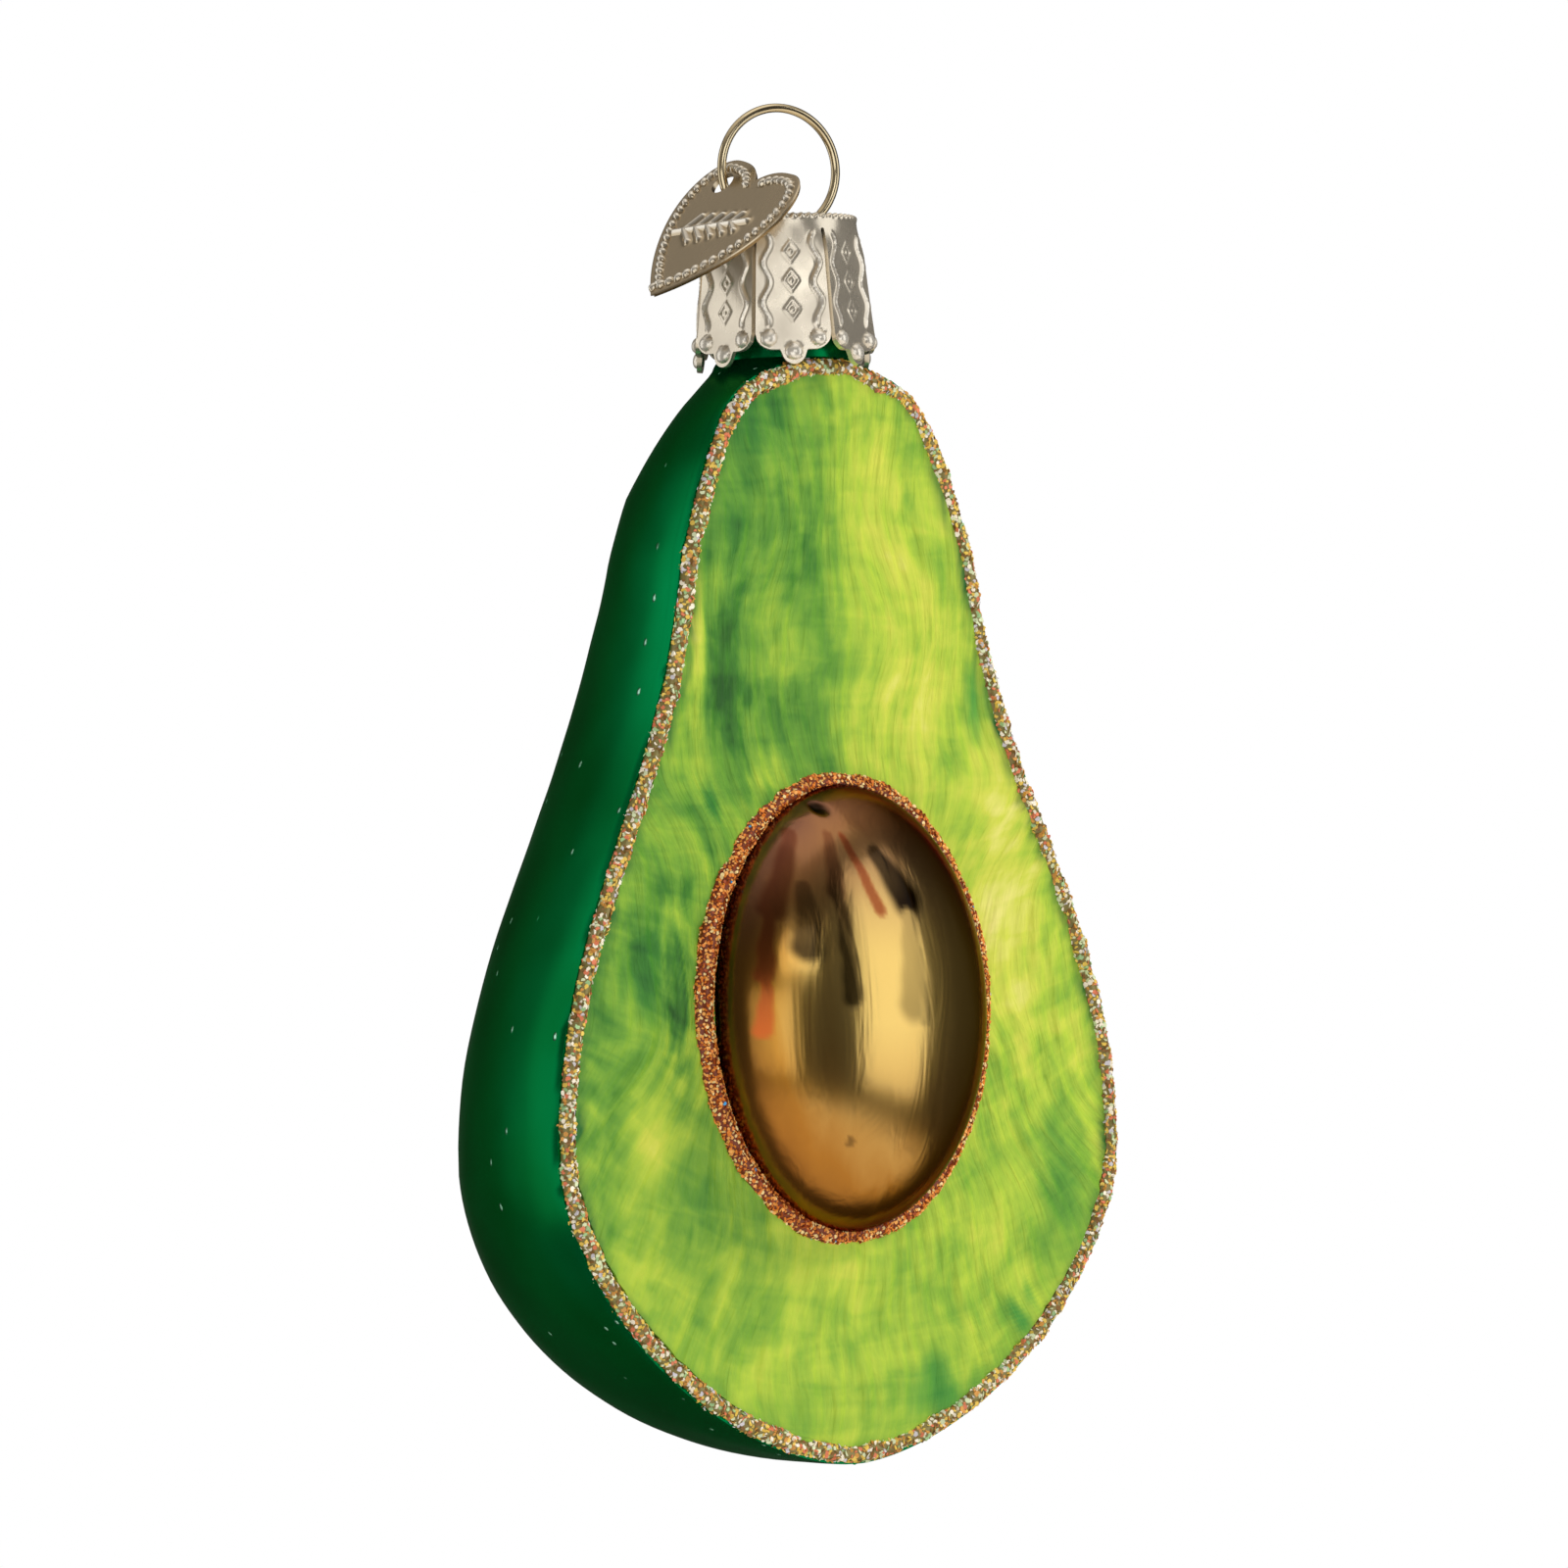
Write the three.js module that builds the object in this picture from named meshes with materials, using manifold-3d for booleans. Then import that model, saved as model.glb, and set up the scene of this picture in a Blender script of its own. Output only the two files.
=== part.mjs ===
// Half-avocado ornament in blown glass, hung by a crown cap, a spring-wire ring and a heart tag.
// Millimetres, +Z up. The origin is the hang point, at the inside top of the ring on the neck's axis.
// The flat cut face looks towards -Y.

import * as THREE from "three";
import { mergeVertices } from "three/addons/utils/BufferGeometryUtils.js";
import Module from "manifold-3d";

const wasm = await Module();
wasm.setup();

// Hanger: one spring wire with a ring above the cap and two legs inside the neck
const wireDiameter = 0.68;
const ringRadius = 4.7; // to the middle of the wire
const ringRise = 3.77; // centre of the ring above the top of the cap
const ringHeading = -19; // degrees about the neck's axis, 0 is in line with the cut face
const ringFootBend = 0.6; // radius where the ring turns down into a leg
const pullTravel = 5; // how far the legs can be drawn out of the neck
const legLength = 19.5; // below the top of the cap
const bowClearance = 0.12; // between a bowed leg and the bore of the neck
const bowLength = 5;
const legTipSpread = 2.5; // from the neck's axis

// Cap: stamped sheet crown with crimped petals
const capSheet = 0.38;
const capTopRadius = 5.75;
const capEdgeRadius = 0.5;
const capFlareRadius = 6.85; // at the ends of the tabs
const petalCount = 7;
const petalLength = 10.3; // top of the cap to the petals' lower edges
const petalSlit = 0.3;
const petalCorner = 1.25;
const petalBulge = 0.22;
const slitStart = 1.1; // below the top of the cap
const tabRadius = 0.95;
const tabDrop = 1.1; // tab below the petal's edge
const capHeading = -10.5; // degrees, the first slit about the neck's axis from the front
const wireHoleClearance = 0.25;
const cornerBeadRadius = 0.58;
const cornerBeadInset = new THREE.Vector2(0.95, 0.85); // from the petal's side and its lower edge
const tabBeadRadius = 0.66;
const stampRise = 0.3; // beads above the sheet
const ribRadius = 0.2; // wavy ribs, one down each side of a petal
const ribInset = 0.72; // from the petal's side
const ribWave = 0.26;
const ribPitch = 3;
const ribStart = 1.6; // below the top of the cap
const ribEnd = 8.6;

// Bulb: mould-blown glass, half a pear shape with a flat face, a pit and a neck
const glassWall = 0.9;
const neckRadius = 5;
const neckSetback = 4.3; // neck's axis behind the cut face
const neckToCap = 0.3;
const capToFace = 0.9; // petals' lower edges above the top of the cut face
const neckFootRise = 0.45; // neck ends this far above the top of the cut face
const faceHeight = 82.7;
const faceHalfWidth = 28.8;
const faceBellyRise = 23.5; // widest place above the bottom
const faceShoulder = new THREE.Vector2(15, 14.3); // half width, depth below the top
const faceFullness = 1.7; // exponent of the rounded bottom, 2 is an ellipse
const backDepth = 28.6; // rind behind the cut face at its deepest
const backBellyRise = 22.1; // deepest place above the bottom
const backShoulder = new THREE.Vector2(16.7, 9.8);
const backFullness = 2.6;
const rindFullness = 2.1; // exponent of the level outline
const shoulderBlend = 2.8; // height over which the round neck turns into the bulb

// Handles that draw the bulb's outlines, of the cut face and of the back seen from the side
const crestReach = new THREE.Vector2(0.61, 0.13); // of the shoulder's half width and depth
const shoulderReach = new THREE.Vector2(0.69, 0.06);
const flankHandle = new THREE.Vector2(2.4, 18.5); // out and down from the shoulder
const bellyRun = 18; // upright run above the widest place
const backCrest = new THREE.Vector2(0.7, 1.5); // out from the neck and down
const backShoulderReach = new THREE.Vector2(0.9, 0.7);
const backFlankHandle = new THREE.Vector2(5.5, 21.7);
const backBellyRun = 9.7;

// Pit: a bulge of the same bulb
const pitHalfWidth = 12.6;
const pitHalfHeight = 16.4;
const pitBulge = 7.6;
const pitRise = 34.2; // its centre above the bottom of the face

// Coats and glitter trims on the glass
const coatThickness = 0.3;
const coatGap = 0.15;
const rimBand = 2.1;
const rimEdgeInset = 0.1;
const rimBead = 0.75; // height
const pitBandSide = 2.2; // width of the pit's band at its sides
const pitBandEnd = 0.9; // and at its top and bottom
const pitBead = 0.8;

// Heart tag, stamped from sheet and threaded on the ring
const tagSheet = 0.38;
const tagHalfWidth = 6.8;
const tagLobeRise = 1.4; // lobes above the notch
const tagLobeSpread = 3.8;
const tagWidestDrop = 3.2;
const tagLength = 12.1; // notch to tip
const tagHoleRadius = 1;
const tagHoleSpread = 3.55; // to the side of the notch
const tagHoleDrop = 1;
const tagRingAngle = 194.5; // degrees round the ring from its right-hand side
const tagLean = 41.5; // degrees, how far the tag's front looks up
const tagSpin = 17.7; // degrees, turn in its own plane
const tagBeadPitch = 0.9;
const tagBeadInset = 0.85; // from the heart's outline
const tagBeadRadius = 0.34;
const tagBeadRise = 0.22;
const sprigStart = new THREE.Vector2(-3.9, -6.3); // stamped sprig, from the notch
const sprigEnd = new THREE.Vector2(3.6, -3.6);
const sprigThickness = 0.24; // radius of the raised strokes
const leafPairs = 5;
const leafLength = 1.55;
const leafSpread = 48; // degrees from the stem

// Levels that follow from the sizes above
const ringCentreZ = -(ringRadius - wireDiameter / 2);
const capTopZ = ringCentreZ - ringRise;
const petalEndZ = capTopZ - petalLength;
const tabEndZ = petalEndZ - tabDrop;
const neckTopZ = capTopZ - capSheet - neckToCap;
const faceTopZ = petalEndZ - capToFace;
const neckFootZ = faceTopZ + neckFootRise;
const faceBottomZ = faceTopZ - faceHeight;
const faceY = -neckSetback;
const pitZ = faceBottomZ + pitRise;
const neckBore = neckRadius - glassWall;
const pitFoot = coatGap + coatThickness + coatGap; // from the pit's glass to its glitter band
const pitBandHalfWidth = pitHalfWidth + pitFoot + pitBandSide;
const pitBandHalfHeight = pitHalfHeight + pitFoot + pitBandEnd;

const degrees = THREE.MathUtils.degToRad;
const ringAcross = new THREE.Vector3(Math.cos(degrees(ringHeading)), Math.sin(degrees(ringHeading)), 0);

// Solids for joining and cutting

function toSolid(geometry) {
  const bare = geometry.index ? geometry.clone() : mergeVertices(geometry.clone());
  bare.deleteAttribute("normal");
  bare.deleteAttribute("uv");
  const merged = mergeVertices(bare, 1e-5);
  const corners = merged.index.array;
  const kept = [];
  for (let i = 0; i < corners.length; i += 3) {
    const [a, b, c] = [corners[i], corners[i + 1], corners[i + 2]];
    if (a !== b && b !== c && c !== a) kept.push(a, b, c);
  }
  return new wasm.Manifold(
    new wasm.Mesh({
      numProp: 3,
      vertProperties: new Float32Array(merged.attributes.position.array),
      triVerts: new Uint32Array(kept),
    }),
  );
}

function addTo(solid, geometries) {
  return geometries.reduce((whole, geometry) => whole.add(toSolid(geometry)), solid);
}

function toGeometry(solid) {
  const mesh = solid.getMesh();
  const geometry = new THREE.BufferGeometry();
  geometry.setAttribute("position", new THREE.BufferAttribute(mesh.vertProperties, 3));
  geometry.setIndex(new THREE.BufferAttribute(mesh.triVerts, 1));
  geometry.computeVertexNormals();
  return geometry;
}

// A closed body through a stack of rings from top to bottom, each counter-clockwise seen from above.
function loft(rings, topPoint, bottomPoint) {
  const count = rings[0].length;
  const points = [...rings.flat(), topPoint, bottomPoint];
  const top = points.length - 2;
  const bottom = points.length - 1;
  const last = (rings.length - 1) * count;
  const index = [];
  for (let i = 0; i < count; i++) {
    const next = (i + 1) % count;
    index.push(top, i, next, bottom, last + next, last + i);
    for (let row = 0; row < last; row += count) {
      const [a, b, c, d] = [row + i, row + count + i, row + count + next, row + next];
      index.push(a, b, c, a, c, d);
    }
  }
  return new THREE.BufferGeometry().setFromPoints(points).setIndex(index);
}

// A closed tube-like body whose cross-sections follow each other round a loop.
function loftRound(sections) {
  const count = sections[0].length;
  const index = [];
  sections.forEach((_, s) => {
    const here = s * count;
    const there = ((s + 1) % sections.length) * count;
    for (let i = 0; i < count; i++) {
      const next = (i + 1) % count;
      index.push(here + i, there + next, there + i, here + i, here + next, there + next);
    }
  });
  return new THREE.BufferGeometry().setFromPoints(sections.flat()).setIndex(index);
}

// Profiles of the bulb, as points of half width (or depth) against height

function roundedFoot(reach, bellyZ, fullness, steps) {
  const points = [];
  for (let i = 1; i <= steps; i++) {
    const angle = (i / steps) * (Math.PI / 2);
    const out = i === steps ? 0 : reach * Math.cos(angle) ** (2 / fullness);
    points.push(new THREE.Vector2(out, bellyZ - (bellyZ - faceBottomZ) * Math.sin(angle) ** (2 / fullness)));
  }
  return points;
}

function bezier(...values) {
  const corners = [];
  for (let i = 0; i < values.length; i += 2) {
    corners.push(new THREE.Vector2(values[i], faceTopZ - values[i + 1]));
  }
  return new THREE.CubicBezierCurve(...corners);
}

const neckChord = Math.sqrt(neckRadius ** 2 - neckSetback ** 2);
const faceBellyDrop = faceHeight - faceBellyRise;
const faceProfile = [
  ...bezier(
    ...[neckChord, -neckFootRise],
    ...faceShoulder.clone().multiply(crestReach).toArray(),
    ...faceShoulder.clone().multiply(shoulderReach).toArray(),
    ...faceShoulder.toArray(),
  ).getPoints(16),
  ...bezier(
    ...faceShoulder.toArray(),
    ...faceShoulder.clone().add(flankHandle).toArray(),
    ...[faceHalfWidth, faceBellyDrop - bellyRun],
    ...[faceHalfWidth, faceBellyDrop],
  )
    .getPoints(24)
    .slice(1),
  ...roundedFoot(faceHalfWidth, faceTopZ - faceBellyDrop, faceFullness, 24),
];

const backBellyDrop = faceHeight - backBellyRise;
const backProfile = [
  ...bezier(
    ...[neckSetback + neckRadius, -neckFootRise],
    ...[neckSetback + neckRadius + backCrest.x, backCrest.y],
    ...backShoulder.clone().multiply(backShoulderReach).toArray(),
    ...backShoulder.toArray(),
  ).getPoints(16),
  ...bezier(
    ...backShoulder.toArray(),
    ...backShoulder.clone().add(backFlankHandle).toArray(),
    ...[backDepth, backBellyDrop - backBellyRun],
    ...[backDepth, backBellyDrop],
  )
    .getPoints(24)
    .slice(1),
  ...roundedFoot(backDepth, faceTopZ - backBellyDrop, backFullness, 24),
];

// The inward normals of a line of points that runs downwards on the right of the part.
function inwardNormals(points, closed) {
  const count = points.length;
  return points.map((_, i) => {
    const before = points[closed ? (i + count - 1) % count : Math.max(i - 1, 0)];
    const after = points[closed ? (i + 1) % count : Math.min(i + 1, count - 1)];
    const along = after.clone().sub(before).normalize();
    return new THREE.Vector2(along.y, -along.x);
  });
}

function insetPoints(points, distance, closed = false) {
  const normals = inwardNormals(points, closed);
  return points.map((point, i) => point.clone().addScaledVector(normals[i], distance));
}

// How far a profile reaches out at height z.
function reachAt(profile, z) {
  const below = profile.findIndex((point) => point.y <= z);
  if (below < 0) return profile.at(-1).x;
  if (below === 0) return profile[0].x;
  const [high, low] = [profile[below - 1], profile[below]];
  return THREE.MathUtils.mapLinear(z, high.y, low.y, high.x, low.x);
}

// Bulb

const backSteps = 18;
const frontSteps = 8;
const upperLevels = 14;
const lowerLevels = 8;

function bulbRing(z, widths, depths, wall) {
  const onNeck = z >= neckFootZ;
  const settled = THREE.MathUtils.smoothstep(neckFootZ - z, 0, shoulderBlend);
  const centre = onNeck ? neckSetback : neckSetback * (1 - settled);
  const fullness = onNeck ? 2 : 2 + (rindFullness - 2) * settled;
  const back = onNeck ? neckRadius - wall : reachAt(depths, z) - centre;
  const cut = Math.abs((centre - wall) / back) ** fullness;
  const side = onNeck ? back : reachAt(widths, z) / (1 - cut) ** (1 / fullness);
  const ring = [];
  for (let i = 0; i < backSteps + frontSteps; i++) {
    const behind = i < backSteps;
    const angle = Math.PI * (behind ? i / backSteps : 1 + (i - backSteps) / frontSteps);
    const [cos, sin] = [Math.cos(angle), Math.abs(Math.sin(angle))];
    const x = side * Math.sign(cos) * Math.abs(cos) ** (2 / fullness);
    const away = back * (i % backSteps || !behind ? sin : 0) ** (2 / fullness);
    const y = behind ? centre + away : centre - away;
    ring.push(new THREE.Vector3(x, faceY + (onNeck ? y : Math.max(y, wall)), z));
  }
  return ring;
}

// The bulb's outside (wall 0), or its hollow drawn in by the wall and run out through the neck.
function bulbForm(wall, topZ) {
  const widths = insetPoints(faceProfile, wall);
  const depths = insetPoints(backProfile, wall);
  const bellyZ = faceTopZ - faceBellyDrop;
  const bottomZ = faceBottomZ + wall;
  const startZ = neckFootZ - 0.1 - wall / 2;
  const levels = [topZ, neckFootZ];
  for (let i = 0; i <= upperLevels; i++) {
    levels.push(startZ - (startZ - bellyZ) * (i / upperLevels) ** 1.5);
  }
  for (let i = 1; i < lowerLevels; i++) {
    levels.push(bellyZ - (bellyZ - bottomZ) * Math.sin((i / lowerLevels) * (Math.PI / 2)));
  }
  const rings = levels.map((z) => bulbRing(z, widths, depths, wall));
  const top = new THREE.Vector3(0, 0, topZ);
  return toSolid(loft(rings, top, new THREE.Vector3(0, faceY + wall, bottomZ)));
}

function pitForm(growth) {
  const dome = new THREE.SphereGeometry(1, 32, 14);
  dome.scale(pitHalfWidth + growth, pitBulge + growth, pitHalfHeight + growth);
  return toSolid(dome.translate(0, faceY, pitZ));
}

function glassBody() {
  const outside = bulbForm(0, neckTopZ).add(pitForm(0));
  const hollow = bulbForm(glassWall, neckTopZ + 1).add(pitForm(-glassWall));
  return toGeometry(outside.subtract(hollow));
}

// Coats and trims

const faceSteps = 34; // along one side of the face

function faceLoop(inset) {
  const right = new THREE.SplineCurve(faceProfile).getSpacedPoints(faceSteps);
  const left = right.slice(0, -1).reverse();
  const loop = [...right, ...left.map((point) => new THREE.Vector2(-point.x, point.y))];
  return insetPoints(loop, inset, true);
}

function ellipseLoop(halfWidth, halfHeight, steps) {
  const curve = new THREE.EllipseCurve(0, pitZ, halfWidth, halfHeight, 0, 2 * Math.PI, true);
  return curve.getPoints(steps).slice(0, -1);
}

function standFaceOn(geometry) {
  return geometry.rotateX(Math.PI / 2).translate(0, faceY, 0);
}

function fleshEnamel() {
  const coat = new THREE.Shape(faceLoop(rimEdgeInset + rimBand + coatGap));
  const hole = ellipseLoop(pitBandHalfWidth + coatGap, pitBandHalfHeight + coatGap, 48);
  coat.holes.push(new THREE.Path(hole.reverse()));
  return standFaceOn(new THREE.ExtrudeGeometry(coat, { depth: coatThickness, bevelEnabled: false }));
}

function pitLacquer() {
  const thick = pitForm(coatGap + coatThickness);
  const reach = 2 * pitHalfHeight;
  const front = new THREE.BoxGeometry(reach, reach, 2 * reach).translate(0, faceY - reach / 2, pitZ);
  return toGeometry(thick.subtract(pitForm(coatGap)).intersect(toSolid(front)));
}

// A rounded bead of glue and glitter that lies on the face between two loops.
function beadBetween(outer, inner, height) {
  const steps = 4;
  const sections = outer.map((start, i) => {
    const section = [];
    for (let k = 0; k <= steps; k++) {
      const angle = (k / steps) * Math.PI;
      const place = start.clone().lerp(inner[i], (1 - Math.cos(angle)) / 2);
      const lift = k % steps ? height * Math.sin(angle) : 0;
      section.push(new THREE.Vector3(place.x, faceY - lift, place.y));
    }
    return section;
  });
  return loftRound(sections);
}

function rimGlitter() {
  return beadBetween(faceLoop(rimEdgeInset), faceLoop(rimEdgeInset + rimBand), rimBead);
}

function pitGlitter() {
  const outer = ellipseLoop(pitBandHalfWidth, pitBandHalfHeight, 48);
  const inner = ellipseLoop(pitHalfWidth + pitFoot, pitHalfHeight + pitFoot, 48);
  return beadBetween(outer, inner, pitBead);
}

// Cap

const skirtSteps = 4;
const stepsPerPetal = 6;
const ribSides = 3;

// Radius and height along the cap's sheet, from the axis to the tab ends.
function capProfile(inward) {
  const edge = new THREE.EllipseCurve(
    ...[capTopRadius - capEdgeRadius, capTopZ - capEdgeRadius],
    ...[capEdgeRadius - inward, capEdgeRadius - inward],
    ...[Math.PI / 2, 0, true],
  ).getPoints(2);
  const skirt = new THREE.QuadraticBezierCurve(
    edge.at(-1).clone(),
    new THREE.Vector2(capTopRadius + 0.4 - inward, capTopZ - 0.55 * petalLength),
    new THREE.Vector2(capFlareRadius - inward, tabEndZ),
  ).getPoints(skirtSteps);
  return [new THREE.Vector2(0, capTopZ - inward), ...edge, ...skirt.slice(1)];
}

// How far a petal swells past the round skirt at an angle about the neck.
function petalSwell(angle, z) {
  const turn = angle + Math.PI / 2 - degrees(capHeading);
  const swell = petalBulge * Math.abs(Math.sin((turn * petalCount) / 2));
  const share = THREE.MathUtils.smoothstep(capTopZ - z, capEdgeRadius, 3 * slitStart);
  return share * (swell - petalBulge / 2);
}

function crownBlank() {
  const outline = [...capProfile(0), ...capProfile(capSheet).reverse()];
  const blank = new THREE.LatheGeometry(outline.reverse(), petalCount * stepsPerPetal);
  blank.rotateX(Math.PI / 2);
  const place = blank.attributes.position;
  for (let i = 0; i < place.count; i++) {
    const [x, y, z] = [place.getX(i), place.getY(i), place.getZ(i)];
    const radius = Math.hypot(x, y);
    if (radius < capTopRadius - capEdgeRadius) continue;
    const grown = 1 + petalSwell(Math.atan2(y, x), z) / radius;
    place.setXY(i, x * grown, y * grown);
  }
  return toSolid(blank);
}

// The sheet that is punched away between two petals, as a prism through the skirt.
function petalGap(heading) {
  const tabMiddle = capFlareRadius * Math.sin(Math.PI / petalCount);
  const gap = new THREE.Shape();
  const half = petalSlit / 2;
  const under = tabEndZ - 1;
  gap.moveTo(-half, capTopZ - slitStart);
  gap.lineTo(-half, petalEndZ + petalCorner);
  gap.absarc(-half - petalCorner, petalEndZ + petalCorner, petalCorner, 0, -Math.PI / 2, true);
  gap.lineTo(-tabMiddle + tabRadius, petalEndZ);
  gap.absellipse(-tabMiddle, petalEndZ, tabRadius, tabDrop, 0, -Math.PI / 2, true, 0);
  gap.lineTo(-tabMiddle, under);
  gap.lineTo(tabMiddle, under);
  gap.lineTo(tabMiddle, tabEndZ);
  gap.absellipse(tabMiddle, petalEndZ, tabRadius, tabDrop, -Math.PI / 2, -Math.PI, true, 0);
  gap.lineTo(half + petalCorner, petalEndZ);
  gap.absarc(half + petalCorner, petalEndZ + petalCorner, petalCorner, -Math.PI / 2, -Math.PI, true);
  gap.lineTo(half, capTopZ - slitStart);
  const inner = capTopRadius / 2;
  const prism = new THREE.ExtrudeGeometry(gap, {
    depth: 2 * capFlareRadius - inner,
    bevelEnabled: false,
    curveSegments: 3,
  });
  return toSolid(prism.translate(0, 0, inner).rotateX(Math.PI / 2).rotateZ(heading));
}

// A place on a petal's outside: across from its middle, and below the top of the cap.
function onPetal(petal, across, drop) {
  const z = capTopZ - drop;
  const skirt = reachAt(capProfile(0).slice(1), z);
  const petalAngle = degrees(capHeading) - Math.PI / 2 + ((petal + 0.5) * 2 * Math.PI) / petalCount;
  const angle = petalAngle + across / skirt;
  const out = skirt + petalSwell(angle, z);
  return { angle, point: new THREE.Vector3(out * Math.cos(angle), out * Math.sin(angle), z) };
}

function placeOnPetal(geometry, petal, across, drop) {
  const { angle, point } = onPetal(petal, across, drop);
  return geometry.rotateZ(angle + Math.PI / 2).translate(...point.toArray());
}

function petalSide(drop) {
  return (reachAt(capProfile(0).slice(1), capTopZ - drop) * Math.PI) / petalCount - petalSlit / 2;
}

function raisedDot(radius) {
  return new THREE.SphereGeometry(1, 6, 4).scale(radius, stampRise, radius);
}

function wavyRib(petal, side) {
  const points = [];
  for (let drop = ribStart; drop <= ribEnd; drop += ribPitch / 3) {
    const wave = ribWave * Math.sin((2 * Math.PI * drop) / ribPitch);
    points.push(onPetal(petal, side * (petalSide(drop) - ribInset + wave), drop).point);
  }
  const section = new THREE.EllipseCurve(0, 0, ribRadius, ribRadius).getPoints(ribSides).slice(1);
  return new THREE.ExtrudeGeometry(new THREE.Shape(section), {
    extrudePath: new THREE.CatmullRomCurve3(points),
    steps: points.length - 1,
    bevelEnabled: false,
  });
}

// What is stamped into one petal: three beads and two wavy ribs.
function petalStamping(petal) {
  const stamped = [placeOnPetal(raisedDot(tabBeadRadius), petal, 0, petalLength)];
  for (const side of [-1, 1]) {
    const drop = petalLength - cornerBeadInset.y;
    const across = side * (petalSide(drop) - cornerBeadInset.x);
    stamped.push(placeOnPetal(raisedDot(cornerBeadRadius), petal, across, drop));
    stamped.push(wavyRib(petal, side));
  }
  return stamped;
}

function crownCap() {
  let cap = crownBlank();
  for (let i = 0; i < petalCount; i++) {
    cap = cap.subtract(petalGap(degrees(capHeading) + (i * 2 * Math.PI) / petalCount));
    cap = addTo(cap, petalStamping(i));
  }
  const holeRadius = wireDiameter / 2 + wireHoleClearance;
  for (const side of [-1, 1]) {
    const hole = new THREE.CylinderGeometry(holeRadius, holeRadius, 4 * capSheet, 14).rotateX(Math.PI / 2);
    hole.translate(0, 0, capTopZ - capSheet / 2);
    hole.translate(...ringAcross.clone().multiplyScalar(side * legSpread).toArray());
    cap = cap.subtract(toSolid(hole));
  }
  return toGeometry(cap);
}

// Hanger wire, drawn in the ring's plane as distance from the neck's axis and height

const footAngle = Math.asin((ringRise - wireHoleClearance / 2) / (ringRadius + ringFootBend));
const legSpread = ringRadius * Math.cos(footAngle) - ringFootBend * (1 - Math.cos(footAngle));
const bowSpread = neckBore - wireDiameter / 2 - bowClearance;

class RingArc extends THREE.Curve {
  constructor(centre, centreZ, radius, from, to) {
    super();
    Object.assign(this, { centre, centreZ, radius, from, to });
  }
  getPoint(t, target = new THREE.Vector3()) {
    const angle = THREE.MathUtils.lerp(this.from, this.to, t);
    const out = this.centre + this.radius * Math.cos(angle);
    return target.copy(ringAcross).multiplyScalar(out).setZ(this.centreZ + this.radius * Math.sin(angle));
  }
}

function inRingPlane(out, z) {
  return ringAcross.clone().multiplyScalar(out).setZ(z);
}

// One leg from its tip up to the cap: in at the tip, bowed out in the neck, straight for the pull.
function legCurves(side) {
  const straightEnd = capTopZ - capSheet - pullTravel - 0.3;
  const bowEnd = straightEnd - bowLength;
  const tipZ = capTopZ - legLength;
  const bowed = new THREE.CatmullRomCurve3([
    inRingPlane(side * legTipSpread, tipZ),
    inRingPlane(side * legTipSpread, (tipZ + bowEnd) / 2),
    inRingPlane(side * (legTipSpread + 0.3), bowEnd),
    inRingPlane(side * bowSpread, straightEnd - bowLength / 2),
    inRingPlane(side * legSpread, straightEnd),
    inRingPlane(side * legSpread, straightEnd + 1),
  ]);
  const footZ = ringCentreZ - (ringRadius + ringFootBend) * Math.sin(footAngle);
  const straight = new THREE.LineCurve3(
    inRingPlane(side * legSpread, straightEnd + 1),
    inRingPlane(side * legSpread, footZ),
  );
  return { bowed, straight, footZ };
}

function hangerPath() {
  const left = legCurves(-1);
  const right = legCurves(1);
  const footCentre = legSpread + ringFootBend;
  const path = new THREE.CurvePath();
  path.add(left.bowed);
  path.add(left.straight);
  path.add(new RingArc(-footCentre, left.footZ, ringFootBend, 0, footAngle));
  path.add(new RingArc(0, ringCentreZ, ringRadius, Math.PI + footAngle, -footAngle));
  path.add(new RingArc(footCentre, right.footZ, ringFootBend, Math.PI - footAngle, Math.PI));
  path.add(new THREE.LineCurve3(right.straight.v2, right.straight.v1));
  path.add(new THREE.CatmullRomCurve3([...right.bowed.points].reverse()));
  return path;
}

function hangerWire() {
  const section = new THREE.Shape();
  section.absarc(0, 0, wireDiameter / 2, 0, 2 * Math.PI);
  return new THREE.ExtrudeGeometry(section, {
    extrudePath: hangerPath(),
    steps: 76,
    curveSegments: 4,
    bevelEnabled: false,
  });
}

// Heart tag, drawn flat with its notch at the middle and its tip towards -Y, then leant on the cap

function heartTag() {
  const heart = new THREE.Shape();
  const [wide, lobe, rise] = [tagHalfWidth, tagLobeSpread, tagLobeRise];
  const [drop, tip] = [-tagWidestDrop, -tagLength];
  heart.moveTo(0, 0);
  heart.bezierCurveTo(0.3 * lobe, 0.9 * rise, 0.65 * lobe, rise, lobe, rise);
  heart.bezierCurveTo(0.87 * wide, rise, 1.05 * wide, 0.25 * drop, wide, drop);
  heart.bezierCurveTo(0.93 * wide, 2 * drop, 0.5 * wide, 0.81 * tip, 0, tip);
  heart.bezierCurveTo(-0.5 * wide, 0.81 * tip, -0.93 * wide, 2 * drop, -wide, drop);
  heart.bezierCurveTo(-1.05 * wide, 0.25 * drop, -0.87 * wide, rise, -lobe, rise);
  heart.bezierCurveTo(-0.65 * lobe, rise, -0.3 * lobe, 0.9 * rise, 0, 0);
  const border = tagBorder(heart);
  const hole = new THREE.Path().absarc(-tagHoleSpread, -tagHoleDrop, tagHoleRadius, 0, 2 * Math.PI);
  heart.holes.push(hole);
  const sheet = { depth: tagSheet, bevelEnabled: false, curveSegments: 7 };
  const plate = new THREE.ExtrudeGeometry(heart, sheet);
  const tag = addTo(toSolid(plate), [...border, ...sprig()]);
  return toGeometry(tag).translate(tagHoleSpread, tagHoleDrop, -tagSheet / 2);
}

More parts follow.
